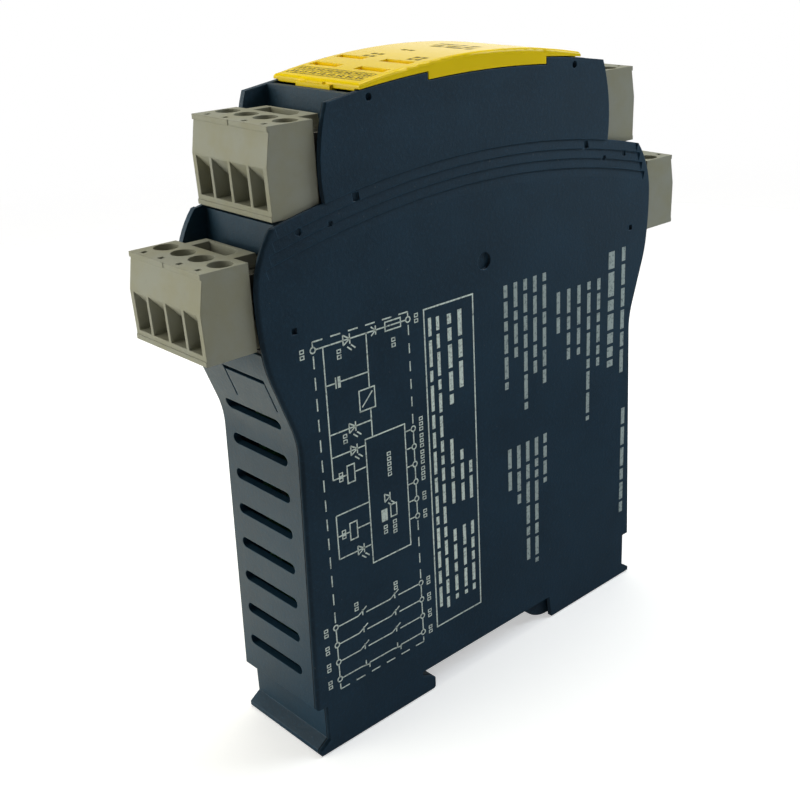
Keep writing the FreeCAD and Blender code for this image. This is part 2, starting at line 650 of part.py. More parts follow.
def make_housing_shell():
    body = new_body("housing_shell")
    slab(body, "far_plate", plate_outline, inner_half, half_width)

    def wall_strip(sketch):
        """The end walls, the lower bay floors, the rail seat and the fixed hook as one strip."""
        outer_right = flank_points(1)[:6]
        outer_right[0] = (flank_foot_x, lower_floor_z)
        inner_right = [
            (waist_x - end_wall, waist_z),
            (waist_top_x - end_wall, waist_top_z, -waist_radius),
            (belly_x - end_wall, belly_z),
            (flank_foot_x - end_wall, lower_floor_z - end_wall, -belly_radius),
        ]
        corners = [(lower_header_x, lower_floor_z)] + outer_right + [
            (neck_x, seat_z),
            (latch_side_x, seat_z),
        ] + hook_points()[2:] + [
            (-lip_x, 0.0),
            (-lip_x, lip_top_z),
            (-neck_x, neck_foot_z),
            (-neck_x, panel_foot_z),
            (-panel_foot_x, panel_foot_z),
            (-waist_x, waist_z),
            (-waist_top_x, waist_top_z, -waist_radius),
            (-belly_x, belly_z),
            (-flank_foot_x, lower_floor_z, belly_radius),
            (-lower_header_x, lower_floor_z),
            (-lower_header_x, lower_floor_z - end_wall),
            (end_wall - flank_foot_x, lower_floor_z - end_wall),
            (end_wall - belly_x, belly_z, -belly_radius),
            (end_wall - waist_top_x, waist_top_z),
            (end_wall - waist_x, waist_z, waist_radius),
            (end_wall - panel_foot_x, panel_foot_z + end_wall),
            (end_wall - neck_x, panel_foot_z + end_wall),
            (end_wall - neck_x, seat_z + seat_wall),
            (neck_x - end_wall, seat_z + seat_wall),
            (neck_x - end_wall, panel_foot_z + end_wall),
            (panel_foot_x - end_wall, panel_foot_z + end_wall),
        ] + inner_right + [
            (lower_header_x, lower_floor_z - end_wall),
        ]
        loop(sketch, corners)

    slab(body, "wall_strip", wall_strip, near_seam, inner_half)

    shelf_low = upper_floor_z - end_wall
    cap_end_low = crown_z(cap_half, cap_edge_z, cap_edge_radius) - cap_end_drop
    hang_lower = lower_plug_z - rear_drop + 2 * seat_gap
    hang_upper = upper_plug_z - rear_drop + 2 * seat_gap

    for side, name in ((-1, "left"), (1, "right")):
        def shelf(sketch, side=side):
            """Floor of the upper bay with the wall that hangs from it behind the lower plug."""
            loop(sketch, [
                (side * upper_header_x, upper_floor_z),
                (side * (lower_bay_x + end_wall), upper_floor_z),
                (side * (lower_bay_x + end_wall), hang_lower),
                (side * lower_bay_x, hang_lower),
                (side * lower_bay_x, shelf_low),
                (side * upper_header_x, shelf_low),
            ])

        def bay_wall(sketch, side=side):
            """Wall between the cap's end and the upper plug."""
            rectangle(sketch, side * upper_bay_x, hang_upper,
                      side * (upper_bay_x + end_wall), cap_end_low - seat_gap)

        slab(body, f"shelf_{name}", shelf, near_seam, inner_half)
        slab(body, f"bay_wall_{name}", bay_wall, near_seam, inner_half)

    add_latch_guides(body)
    core_foot(body)
    cut_end_openings(body)
    cut_relief(body, half_width, -1)
    return finished(body)


def add_latch_guides(body):
    """Rails on both sides of the latch, with the ledges it rests on, and the spring's post."""
    guide_in = latch_half + latch_tongue + seat_gap
    ledge_in = latch_half + seat_gap

    def guides(sketch):
        rectangle(sketch, guide_start_x, guide_in, neck_x, inner_half)
        rectangle(sketch, guide_start_x, -inner_half, neck_x, -guide_in)

    def ledges(sketch):
        rectangle(sketch, guide_start_x, ledge_in, neck_x, inner_half)
        rectangle(sketch, guide_start_x, -inner_half, neck_x, -ledge_in)

    def post(sketch):
        back = window_end_x - 2 * seat_gap
        rectangle(sketch, back - post_thick, seat_gap - window_half, back, window_half - seat_gap)

    layer(body, "latch_guides", guides, guide_top, seat_z + seat_gap)
    layer(body, "latch_ledges", ledges, 0.0, guide_top)
    layer(body, "spring_post", post, latch_low + seat_gap, seat_z + seat_gap)


def core_foot(body):
    """The fixed foot is cored out from below, as a moulding is."""
    start = core_wall - neck_x
    room = hook_groove_x - core_wall - start
    step = room / core_count

    def cores(sketch):
        for index in range(core_count):
            x0 = start + index * step
            rectangle(sketch, x0, core_wall - inner_half, x0 + step - core_wall, inner_half - core_wall)

    layer(body, "foot_cores", cores, 0.0, seat_z + seat_wall - core_roof, "Pocket")


def cut_end_openings(body):
    """Vent slots and the slits round the snap tongue, through both ends."""
    reach = 2 * half_length

    def vents(sketch):
        half = vent_length / 2 - vent_height / 2
        for index in range(vent_count):
            low = vent_z + index * vent_pitch - vent_height / 2
            high = low + vent_height
            bulge = 0.501 * vent_height
            loop(sketch, [
                (vent_y - half, low),
                (vent_y - half, high, bulge),
                (vent_y + half, high),
                (vent_y + half, low, bulge),
            ])

    def slits(sketch):
        near, far = tongue_near, tongue_far
        loop(sketch, [
            (near - tongue_slit, tongue_foot),
            (near - tongue_slit, tongue_top + tongue_slit_top),
            (far + tongue_slit, tongue_top + tongue_slit_top),
            (far + tongue_slit, tongue_foot),
            (far, tongue_foot),
            (far, tongue_top),
            (near, tongue_top),
            (near, tongue_foot),
        ])

    bar_cut(body, "vents", vents, -reach, reach)
    bar_cut(body, "tongue_slits", slits, -reach, reach)


# Near side cover with its ridges and small moulding marks

# Shape, distance in from the flank, distance below the crown and half size of each mark
MARKS = (
    ("round", 24.2, 4.6, 0.65),
    ("box", 20.5, 19.8, 0.7),
    ("box", 15.0, 23.15, 0.45),
    ("box", 6.3, 38.75, 0.55),
)


def make_side_cover():
    body = new_body("side_cover")
    slab(body, "near_plate", plate_outline, -half_width, near_seam)

    def outer_end_edge(edge):
        span = edge.BoundBox
        flat = span.YMax < -half_width.value + 0.01
        ends = min(abs(span.XMin), abs(span.XMax)) > waist_x.value - 0.5
        return flat and ends and span.ZMin > panel_foot_z.value - 0.1 and span.ZMax < flank_z.value + 0.1

    round_edges(body, "cover_round", side_wall / 2, outer_end_edge)
    cut_relief(body, -half_width, 1)

    def marks(sketch):
        circle(sketch, 0.0, module_height - recess_drop, recess_radius)
        for kind, inset, drop, reach in MARKS:
            z = module_height - drop
            for side in (-1, 1):
                x = side * (half_length - inset)
                if kind == "round":
                    circle(sketch, x, z, reach)
                else:
                    rectangle(sketch, x - reach, z - reach, x + reach, z + reach)

    def ejectors(sketch):
        x, z = half_length - ejector_inset, module_height - ejector_drop
        for side in (-1, 1):
            circle(sketch, side * x, z, ejector_radius)

    slab(body, "marks", marks, -half_width, mark_depth - half_width, "Pocket")
    slab(body, "ejector_marks", ejectors, -half_width, ejector_depth - half_width, "Pocket")
    return finished(body)


# Front cap

def make_front_cap():
    body = new_body("front_cap")
    end_top = crown_z(cap_half, module_height, cap_top_radius)
    end_low = crown_z(cap_half, cap_edge_z, cap_edge_radius)

    def arch(sketch):
        loop(sketch, [
            (-cap_half, end_low, -cap_edge_radius),
            (-cap_half, end_top),
            (cap_half, end_top, cap_top_radius),
            (cap_half, end_low),
        ])

    slab(body, "cap_arch", arch, -half_width, half_width)

    def top_edge(edge):
        box = edge.BoundBox
        return box.ZMin > end_top.value - 0.01

    round_edges(body, "cap_edges", cap_round, top_edge)

    def skirt(sketch):
        low = cap_edge_z - skirt_drop
        high = cap_edge_z + skirt_drop / 4
        loop(sketch, [
            (skirt_left_x, crown_z(skirt_left_x, low, cap_edge_radius), -cap_edge_radius),
            (skirt_left_x, crown_z(skirt_left_x, high, cap_edge_radius)),
            (skirt_right_x, crown_z(skirt_right_x, high, cap_edge_radius), cap_edge_radius),
            (skirt_right_x, crown_z(skirt_right_x, low, cap_edge_radius)),
        ])

    slab(body, "near_skirt", skirt, -half_width, near_seam)
    slab(body, "far_skirt", skirt, inner_half, half_width)

    leg_out = upper_bay_x - seat_gap
    leg_top = end_low + seat_gap
    ledge_half = inner_half - seat_gap

    def legs(sketch):
        half = cap_leg_width / 2
        for side in (-1, 1):
            rectangle(sketch, side * (leg_out - cap_leg), -half, side * leg_out, half)

    layer(body, "cap_legs", legs, leg_top - cap_leg_length, leg_top)

    def ledges(sketch):
        for side in (-1, 1):
            rectangle(sketch, side * (cap_half - cap_end_thick), -ledge_half, side * cap_half, ledge_half)

    def lips(sketch):
        half = cap_lip_width / 2
        for side in (-1, 1):
            rectangle(sketch, side * (cap_half - cap_lip_out), -half, side * (cap_half + cap_lip_out), half)

    layer(body, "cap_ledges", ledges, end_low - cap_end_drop, leg_top)
    layer(body, "cap_lips", lips, end_low - cap_end_drop, end_top - cap_round / 2)

    for row in range(2):
        x = cap_slot_x + row * cap_slot_step

        def slots(sketch, x=x):
            for side in (-1, 1):
                y = side * cap_slot_y
                rectangle(sketch, x - cap_slot_width / 2, y - cap_slot_length / 2,
                          x + cap_slot_width / 2, y + cap_slot_length / 2)

        floor = crown_z(x - cap_slot_width / 2, module_height, cap_top_radius) - cap_slot_depth
        layer(body, f"cap_slots_{row + 1}", slots, floor, module_height, "Pocket")
    return finished(body)


# Terminal plugs, in their own frame

def pole_y(index):
    return (index - (pole_count - 1) / 2) * pole_pitch


def make_plug():
    body = new_body("plug_design")
    half = plug_width / 2
    rear_half = half - rear_side
    chamber_start = well_x - chamber_length / 2
    chamber_end = well_x + chamber_length / 2
    chamber_low = floor_thick - plug_height
    chamber_high = -well_depth - seat_thick
    chamber_half = (pole_pitch - chamber_wall) / 2
    foot_face = -plug_ledge + plug_lip_out / 2

    def side_view(sketch):
        loop(sketch, [
            (-plug_top_out, 0.0),
            (plug_block, 0.0),
            (plug_block, -plug_height),
            (-plug_ledge, -plug_height),
            (-plug_ledge, plug_ledge_height - plug_height),
            (foot_face, plug_ledge_height - plug_height),
            (foot_face, -funnel_bottom),
            (-plug_lean, -funnel_top),
            (-plug_lean, -plug_kink),
            (plug_lip_out - plug_top_out, -plug_lip),
            (-plug_top_out, -plug_lip),
        ])

    slab(body, "block", side_view, -half, half)

    def rear_view(sketch):
        rectangle(sketch, -rear_half, -plug_height, rear_half, -rear_drop)

    bar_cut(body, "rear_body", rear_view, plug_block, plug_length, "Pad")

    def platform(sketch):
        rectangle(sketch, plug_block, platform_near, plug_block + platform_length, platform_far)

    layer(body, "platform", platform, -rear_drop, 0.0)

    def coding(sketch):
        x0 = plug_block
        x1 = plug_block + platform_length - coding_rim
        loop(sketch, [
            (x0, coding_near),
            (x1 - coding_chamfer, coding_near),
            (x1, coding_near + coding_chamfer),
            (x1, coding_far),
            (x0, coding_far),
        ])

    layer(body, "coding_pocket", coding, -coding_depth, 0.0, "Pocket")

    def wells(sketch):
        for index in range(pole_count):
            circle(sketch, well_x, pole_y(index), well_radius)

    def shanks(sketch):
        for index in range(pole_count):
            circle(sketch, well_x, pole_y(index), shank_radius + cage_gap)

    def chambers(sketch):
        for index in range(pole_count):
            y = pole_y(index)
            rectangle(sketch, chamber_start, y - chamber_half, chamber_end, y + chamber_half)

    def tests(sketch):
        reach = test_hole / 2
        for index in range(pole_count):
            y = pole_y(index)
            rectangle(sketch, test_hole_x - reach, y - reach, test_hole_x + reach, y + reach)

    layer(body, "wells", wells, -well_depth, 0.0, "Pocket")
    layer(body, "shank_holes", shanks, chamber_high, -well_depth, "Pocket")
    layer(body, "chambers", chambers, chamber_low, chamber_high, "Pocket")
    layer(body, "test_holes", tests, -test_hole_depth, 0.0, "Pocket")

    def funnel(sketch):
        loop(sketch, [
            (-plug_ledge - seat_gap, -funnel_top),
            (-plug_lean, -funnel_top),
            (funnel_depth, -funnel_roof),
            (funnel_depth, -funnel_bottom),
            (-plug_ledge - seat_gap, -funnel_bottom),
        ])

    for index in range(pole_count):
        near = pole_y(index) - (pole_pitch - funnel_rib) / 2
        far = pole_y(index) + (pole_pitch - funnel_rib) / 2
        if index == 0:
            near = funnel_side - half
        if index == pole_count - 1:
            far = half - funnel_side
        slab(body, f"funnel_{index + 1}", funnel, near, far, "Pocket")

    def throats(sketch):
        reach = throat_width / 2
        for index in range(pole_count):
            y = pole_y(index)
            rectangle(sketch, y - reach, -funnel_bottom, y + reach, -throat_top)

    bar_cut(body, "throats", throats, funnel_depth - seat_gap, well_x)

    def channels(sketch):
        reach = socket_half + pin_gap
        low = -bar_top - bar_thick - pin_gap
        for index in range(pole_count):
            y = pole_y(index)
            rectangle(sketch, y - reach, low, y + reach, pin_gap - socket_top)

    bar_cut(body, "channels", channels, well_x, plug_length)

    def window(sketch):
        """The contact of the pole beside the platform shows from above."""
        y = pole_y(0)
        reach = socket_half - 2 * pin_gap
        rectangle(sketch, plug_block + header_gap, y - reach, plug_block + platform_length, y + reach)

    layer(body, "contact_window", window, -socket_top, -rear_drop, "Pocket")

    def centre_mark(sketch):
        reach = plug_lip_out / 2
        rectangle(sketch, -plug_lean, -reach, plug_lip_out / 2 - plug_top_out, reach)

    layer(body, "centre_mark", centre_mark, -plug_lip, 0.0, "Pocket")
    return finished(body)


# Plain solids for the metal pieces and the boards

def box(label, low, high):
    """A box between two corners."""
    low = [as_size(part) for part in low]
    high = [as_size(part) for part in high]
    thing = doc.addObject("Part::Box", label)
    thing.Label = label
    for prop, a, b in zip(("Length", "Width", "Height"), low, high):
        bind(thing, prop, b - a)
    for axis, a in zip("xyz", low):
        bind(thing, f"Placement.Base.{axis}", a)
    return thing


def rod(label, centre, radius, height, axis=Vector(0, 0, 1)):
    """A cylinder that starts at the centre point and runs along the axis."""
    thing = doc.addObject("Part::Cylinder", label)
    thing.Label = label
    bind(thing, "Radius", radius)
    bind(thing, "Height", height)
    centre = [as_size(part) for part in centre]
    thing.Placement = Placement(Vector(0, 0, 0), Rotation(Vector(0, 0, 1), axis))
    for name, part in zip("xyz", centre):
        bind(thing, f"Placement.Base.{name}", part)
    return thing


def fuse(label, parts):
    thing = doc.addObject("Part::MultiFuse", label)
    thing.Label = label
    thing.Shapes = parts
    thing.Refine = True
    return thing


def cut(label, base, tool):
    thing = doc.addObject("Part::Cut", label)
    thing.Label = label
    thing.Base = base
    thing.Tool = tool
    thing.Refine = True
    return thing


def group(label, parts):
    """Several like solids that share one node."""
    thing = doc.addObject("Part::Compound", label)
    thing.Label = label
    thing.Links = parts
    return thing


def copy_at(label, design, side, x, y, z):
    """A copy of a design at one end; at the right end it is turned half round."""
    thing = group(label, [design])
    turn = Rotation(Vector(0, 0, 1), 0 if side < 0 else 180)
    thing.Placement = Placement(Vector(side * x.value, as_size(y).value, z.value), turn)
    bind(thing, "Placement.Base.x", side * x)
    bind(thing, "Placement.Base.y", y)
    bind(thing, "Placement.Base.z", z)
    return thing


def make_screw():
    """Slotted clamp screw; it turns in place and its tip bears on the contact bar."""
    head_radius = well_radius - head_gap
    head_low = screw_lift - well_depth
    tip = screw_lift - bar_top
    head = rod("screw_head", (well_x, 0.0, head_low), head_radius, -head_sink - head_low)
    shank = rod("screw_shank", (well_x, 0.0, tip), shank_radius, head_low - tip)
    slot = box("screw_slot",
               (well_x - well_radius, -slot_width / 2, -head_sink - slot_depth),
               (well_x + well_radius, slot_width / 2, 0.0))
    return cut("screw_design", fuse("screw_blank", [head, shank]), slot)


def make_cage():
    """Rising cage: a square tube round the contact bar, with the screw through its top."""
    low = floor_thick + cage_gap - plug_height
    high = -well_depth - seat_thick - screw_lift * 2 - cage_travel
    length = chamber_length - 2 * cage_gap
    half = (pole_pitch - chamber_wall) / 2 - cage_gap
    inner = half - cage_wall
    outer = box("cage_block", (well_x - length / 2, -half, low), (well_x + length / 2, half, high))
    hollow = box("cage_hollow",
                 (well_x - length, -inner, low + cage_floor),
                 (well_x + length, inner, high - cage_top))
    hole = rod("cage_hole", (well_x, 0.0, high - 2 * cage_top), shank_radius + shank_gap, 3 * cage_top)
    return cut("cage_design", outer, fuse("cage_tools", [hollow, hole]))


def make_contacts():
    """One contact for each pole: a bar through the cage and a socket for the header pin."""
    socket_start = well_x + chamber_length / 2 + header_gap
    socket_end = plug_length - header_gap
    parts = []
    for index in range(pole_count):
        y = pole_y(index)
        name = f"contact_{index + 1}"
        bar = box(f"{name}_bar",
                  (well_x - chamber_length / 2 + cage_gap, y - bar_half, -bar_top - bar_thick),
                  (socket_start + bar_thick, y + bar_half, -bar_top))
        web = box(f"{name}_web",
                  (socket_start, y - bar_half, -bar_top - bar_thick),
                  (socket_start + bar_thick, y + bar_half, -socket_bottom + bar_thick))
        socket = box(f"{name}_socket",
                     (socket_start, y - socket_half, -socket_bottom),
                     (socket_end, y + socket_half, -socket_top))
        reach = pin_side / 2 + pin_gap
        hole = box(f"{name}_hole",
                   (plug_length - pin_reach - header_gap, y - reach, -pin_depth - reach),
                   (plug_length, y + reach, reach - pin_depth))
        parts.append(cut(name, fuse(f"{name}_blank", [bar, web, socket]), hole))
    return group("contacts_design", parts)


def make_header():
    """The socket that a plug pushes into: a base for four pins, a floor and two side walls."""
    body = new_body("header_design")
    base_start = plug_length + header_gap
    base_end = base_start + header_wall
    outer = plug_width / 2 - seat_gap / 2
    inner = outer - header_side
    wall_start = plug_block + 4 * header_gap
    low = -plug_height - header_gap - header_floor

    def base(sketch):
        rectangle(sketch, -outer, low, outer, -header_drop)

    def shroud(sketch):
        top = -header_drop - header_floor * 2
        loop(sketch, [
            (-outer, low),
            (outer, low),
            (outer, top),
            (inner, top),
            (inner, low + header_floor),
            (-inner, low + header_floor),
            (-inner, top),
            (-outer, top),
        ])

    def holes(sketch):
        reach = pin_side / 2 + screw_lift
        for index in range(pole_count):
            y = pole_y(index)
            rectangle(sketch, y - reach, -pin_depth - reach, y + reach, reach - pin_depth)

    bar_cut(body, "base", base, base_start, base_end, "Pad")
    bar_cut(body, "shroud", shroud, wall_start, base_start, "Pad")
    bar_cut(body, "pin_holes", holes, base_start - header_gap, base_end + header_gap)
    return finished(body)


def header_pins(label, side, x, z):
    """Four bent pins: each runs out of its header and turns to the main board."""
    base_end = plug_length + header_gap + header_wall
    start = plug_length - pin_reach
    parts = []
    for index in range(pole_count):
        y = pole_y(index)
        bend = base_end + header_gap * 4 + (pole_count - 1 - index) * pin_step
        name = f"{label}_{index + 1}"
        inner_x = side * (x - bend - pin_side)
        outer_x = side * (x - start)
        bend_x = side * (x - bend)
        x_low, x_high = (outer_x, inner_x) if side < 0 else (inner_x, outer_x)
        leg_low, leg_high = (bend_x, inner_x) if side < 0 else (inner_x, bend_x)
        low = z - pin_depth - pin_side / 2
        high = z - pin_depth + pin_side / 2
        straight = box(f"{name}_straight", (x_low, y - pin_side / 2, low), (x_high, y + pin_side / 2, high))
        leg = box(f"{name}_leg", (leg_low, y, low), (leg_high, board_face, high))
        parts.append(fuse(name, [straight, leg]))
    return parts


# Rail latch with its spring

def make_rail_latch():
    body = new_body("rail_latch")

    def side_view(sketch):
        loop(sketch, [
            (latch_nose_x, latch_nose_top - latch_nose_tip, latch_ramp_radius),
            (latch_nose_x, latch_nose_top),
            (latch_stop_x, latch_nose_top),
            (latch_stop_x, latch_high),
            (latch_neck_x, latch_high),
            (latch_neck_x, latch_low),
            (latch_ramp_x, latch_low),
        ])

    wide = inner_half - 2 * seat_gap
    slab(body, "nose", side_view, -wide, wide)

    def tail_view(sketch):
        rectangle(sketch, latch_neck_x, latch_low, latch_end_x, latch_high)

    def tongue_view(sketch):
        rectangle(sketch, latch_neck_x, guide_top + seat_gap, neck_x - 2 * seat_gap, latch_high)

    slab(body, "tail", tail_view, -latch_half, latch_half)
    tongue_half = latch_half + latch_tongue
    slab(body, "tongues", tongue_view, -tongue_half, tongue_half)

    def window(sketch):
        rectangle(sketch, window_start_x, -window_half, window_end_x, window_half)
        rectangle(sketch, eye_x, -eye_half, eye_x + eye_length, eye_half)

    layer(body, "window", window, latch_low, latch_high, "Pocket")
    return finished(body)


def make_latch_spring():
    """Coil spring between the latch's window and the post, with its axis along X."""
    body = new_body("latch_spring")
    start = window_start_x + spring_wire + seat_gap / 2
    end = window_end_x - 2 * seat_gap - post_thick - spring_wire - seat_gap / 2
    sketch = plane_sketch(body, "wire_section", "XZ")
    circle(sketch, start, spring_z + spring_radius, spring_wire)
    axis = body.newObject("PartDesign::Line", "spring_axis")
    axis.AttachmentSupport = [(body.Origin.OriginFeatures[0], "")]
    axis.MapMode = "Deactivated"
    axis.Placement = Placement(Vector(start.value, 0, spring_z.value), Rotation(Vector(0, 1, 0), 90))
    bind(axis, "Placement.Base.x", start)
    bind(axis, "Placement.Base.z", spring_z)
    coil = body.newObject("PartDesign::AdditiveHelix", "coil")
    coil.Profile = sketch
    coil.ReferenceAxis = (axis, [""])
    coil.Mode = "height-turns-angle"
    coil.Turns = spring_turns
    bind(coil, "Height", end - start)
    coil.Angle = 0
    return finished(body)


# Boards and what they carry

def make_main_board():
    body = new_body("main_board")
    shelf_low = upper_floor_z - end_wall - seat_gap

    def outline(sketch):
        loop(sketch, [
            (-board_half, board_foot_z),
            (-board_half, shelf_low),
            (-board_crown_half, shelf_low),
            (-board_crown_half, board_top_z),
            (board_crown_half, board_top_z),
            (board_crown_half, shelf_low),
            (board_half, shelf_low),
            (board_half, board_foot_z),
        ])

    slab(body, "board", outline, board_face, board_face + board_thick)
    return finished(body)


def make_front_board():
    top = front_board_z + front_board_thick
    return box("front_board",
               (-front_board_half, front_board_near, front_board_z),
               (front_board_half, board_face, top))


def make_relay(label, side):
    block = box(f"{label}_block",
                (side * relay_x - relay_width / 2, board_face - relay_thick, relay_foot_z),
                (side * relay_x + relay_width / 2, board_face, relay_foot_z + relay_length))
    doc.recompute()
    thing = doc.addObject("Part::Fillet", label)
    thing.Label = label
    thing.Base = block
    edges = []
    for index, edge in enumerate(block.Shape.Edges):
        if edge.BoundBox.YMin < board_face.value - relay_thick.value + 0.01:
            edges.append((index + 1, relay_round.value, relay_round.value))
    thing.Edges = edges
    return thing


def make_capacitor():
    """Round can with its crimped groove near the base."""
    can = rod("capacitor_can", (0.0, board_face, capacitor_z), capacitor_radius, capacitor_length,
              Vector(0, -1, 0))
    groove_y = board_face - capacitor_length / 8
    ring = doc.addObject("Part::Torus", "capacitor_groove")
    bind(ring, "Radius1", capacitor_radius + board_thick / 4)
    bind(ring, "Radius2", board_thick / 2)
    ring.Placement = Placement(Vector(0, 0, 0), Rotation(Vector(0, 0, 1), Vector(0, -1, 0)))
    bind(ring, "Placement.Base.y", groove_y)
    bind(ring, "Placement.Base.z", capacitor_z)
    return cut("smoothing_capacitor", can, ring)


def make_chip():
    return box("logic_chip",
               (chip_x - chip_side / 2, board_face - chip_thick, chip_z - chip_side / 2),
               (chip_x + chip_side / 2, board_face, chip_z + chip_side / 2))


def make_status_lights():
    """Four domed lights under the recesses of the cap."""
    base_z = front_board_z + front_board_thick
    parts = []
    for row in range(2):
        for side in (-1, 1):
            name = f"light_{row + 1}_{'near' if side < 0 else 'far'}"
            x = cap_slot_x + row * cap_slot_step
            stem = rod(f"{name}_stem", (x, side * cap_slot_y, base_z), led_radius, led_height)
            dome = doc.addObject("Part::Sphere", f"{name}_dome")
            bind(dome, "Radius", led_radius)
            bind(dome, "Placement.Base.x", x)
            bind(dome, "Placement.Base.y", side * cap_slot_y)
            bind(dome, "Placement.Base.z", base_z + led_height)
            parts.append(fuse(name, [stem, dome]))
    return group("status_lights", parts)


def make_switch():
    """Slide switch that sets the function, reached with the cap off, and its slider."""
    low = front_board_z + front_board_thick
    high = low + switch_height
    case = box("switch_block",
               (switch_x - switch_length / 2, -switch_width / 2, low),
               (switch_x + switch_length / 2, switch_width / 2, high))
    start = switch_x - (slider_travel + slider_length) / 2
    slot = box("switch_slot",
               (start - seat_gap, -slider_width / 2 - seat_gap / 2, high - slider_sink - seat_gap / 2),
               (start + slider_travel + slider_length + seat_gap, slider_width / 2 + seat_gap / 2,
                high + seat_gap))
    body = cut("switch_case", case, slot)
    slider = box("switch_slider",
                 (start, -slider_width / 2, high - slider_sink),
                 (start + slider_length, slider_width / 2, high + slider_out))
    return [body, slider]


# Assembly

TIERS = (("upper", upper_plug_x, upper_plug_z), ("lower", lower_plug_x, lower_plug_z))
SIDES = (("left", -1), ("right", 1))


def make_terminals():
    """Everything that repeats at the four plugs."""
    once = (("plug", make_plug()), ("contacts", make_contacts()), ("header", make_header()))
    each_pole = (("screw", make_screw()), ("cage", make_cage()))
    made = []
    for tier, x, z in TIERS:
        pins = []
        for end, side in SIDES:
            corner = f"{tier}_{end}"
            for name, design in once:
                made.append(copy_at(f"{name}_{corner}", design, side, x, 0.0, z))
            for name, design in each_pole:
                for index in range(pole_count):
                    label = f"{name}_{corner}_{index + 1}"
                    made.append(copy_at(label, design, side, x, pole_y(index), z))
            pins += header_pins(f"pin_{corner}", side, x, z)
        made.append(group(f"header_pins_{tier}", pins))
    return made


def make_module():
    made = [make_housing_shell(), make_side_cover(), make_front_cap()]
    made += [make_rail_latch(), make_latch_spring()]
    made += [make_main_board(), make_front_board()]
    made += [make_relay("relay_left", -1), make_relay("relay_right", 1)]
    made += [make_capacitor(), make_chip(), make_status_lights()]
    made += make_switch()
    made += make_terminals()
    return made


def check_and_export(made):
    """Stops on any failed object or bad solid, then writes one file for each sub-part."""
    doc.recompute()
    failed = [item.Label for item in doc.Objects if "Invalid" in item.State or "Error" in item.State]
    if failed:
        raise RuntimeError(f"objects failed: {failed}")
    for item in made:
        shape = item.Shape
        if shape.isNull() or not shape.isValid() or not shape.Solids:
            raise RuntimeError(f"bad shape: {item.Label}")
    os.makedirs("parts", exist_ok=True)
    for item in made:
        item.Shape.exportStep(f"parts/{item.Label}.step")
        print(f"{item.Label}: {len(item.Shape.Solids)} solid(s), {item.Shape.Volume:.1f} mm3")


check_and_export(make_module())
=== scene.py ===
"""Dresses the safety relay module: finishes for its plastics and metals, its print, its small
board parts, and the stage with the photograph's camera. Lengths are in metres, and the places of
the print are in millimetres."""
import math

import bpy
import numpy as np
from bpy.props import FloatProperty, FloatVectorProperty, PointerProperty
from mathutils import Matrix, Vector


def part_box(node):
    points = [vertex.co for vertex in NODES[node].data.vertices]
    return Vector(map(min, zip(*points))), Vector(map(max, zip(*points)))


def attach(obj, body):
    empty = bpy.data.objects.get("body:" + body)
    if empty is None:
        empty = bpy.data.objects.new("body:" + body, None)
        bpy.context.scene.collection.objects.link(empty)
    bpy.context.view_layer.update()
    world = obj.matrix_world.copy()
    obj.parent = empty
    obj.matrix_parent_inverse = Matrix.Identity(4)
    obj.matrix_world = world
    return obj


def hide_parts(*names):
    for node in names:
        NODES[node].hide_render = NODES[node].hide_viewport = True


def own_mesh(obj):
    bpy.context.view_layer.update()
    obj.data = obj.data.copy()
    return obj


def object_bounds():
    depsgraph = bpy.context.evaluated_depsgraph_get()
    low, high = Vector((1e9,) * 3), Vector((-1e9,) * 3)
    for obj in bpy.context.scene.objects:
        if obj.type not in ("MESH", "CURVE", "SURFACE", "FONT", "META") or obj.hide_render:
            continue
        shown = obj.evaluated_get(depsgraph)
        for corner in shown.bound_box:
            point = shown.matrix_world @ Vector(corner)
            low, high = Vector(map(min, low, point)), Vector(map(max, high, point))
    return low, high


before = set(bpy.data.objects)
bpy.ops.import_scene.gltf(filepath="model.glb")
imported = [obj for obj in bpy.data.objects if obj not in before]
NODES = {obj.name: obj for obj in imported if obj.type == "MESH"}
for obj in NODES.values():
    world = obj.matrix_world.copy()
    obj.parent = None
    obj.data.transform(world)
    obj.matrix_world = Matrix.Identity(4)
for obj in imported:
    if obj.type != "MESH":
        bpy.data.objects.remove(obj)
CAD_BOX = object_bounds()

bl_info = {
    "name": "Safety relay module",
    "version": (1, 0, 0),
    "blender": (4, 5, 0),
    "location": "View3D > Sidebar > Relay module",
    "description": "Finishes, print, board parts and stage of a rail-mounted safety relay module",
    "category": "Object",
}

# From model.glb: the module's corners, and the Y of its near face and of the cover's seam
MM = 0.001
LOW, HIGH = CAD_BOX
NEAR_FACE = LOW.y
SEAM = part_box("housing_shell")[0][1]
CORNERS = ("upper_left", "upper_right", "lower_left", "lower_right")


# Sizes and colours that a user would change

def colour(name, description, red, green, blue):
    return FloatVectorProperty(name=name, description=description, subtype="COLOR", size=3,
                               min=0.0, max=1.0, default=(red, green, blue))


def length(name, description, millimetres):
    return FloatProperty(name=name, description=description, unit="LENGTH", subtype="DISTANCE",
                         default=millimetres * MM, min=0.0)


def angle(name, description, degrees):
    return FloatProperty(name=name, description=description, unit="ROTATION", subtype="ANGLE",
                         default=math.radians(degrees))


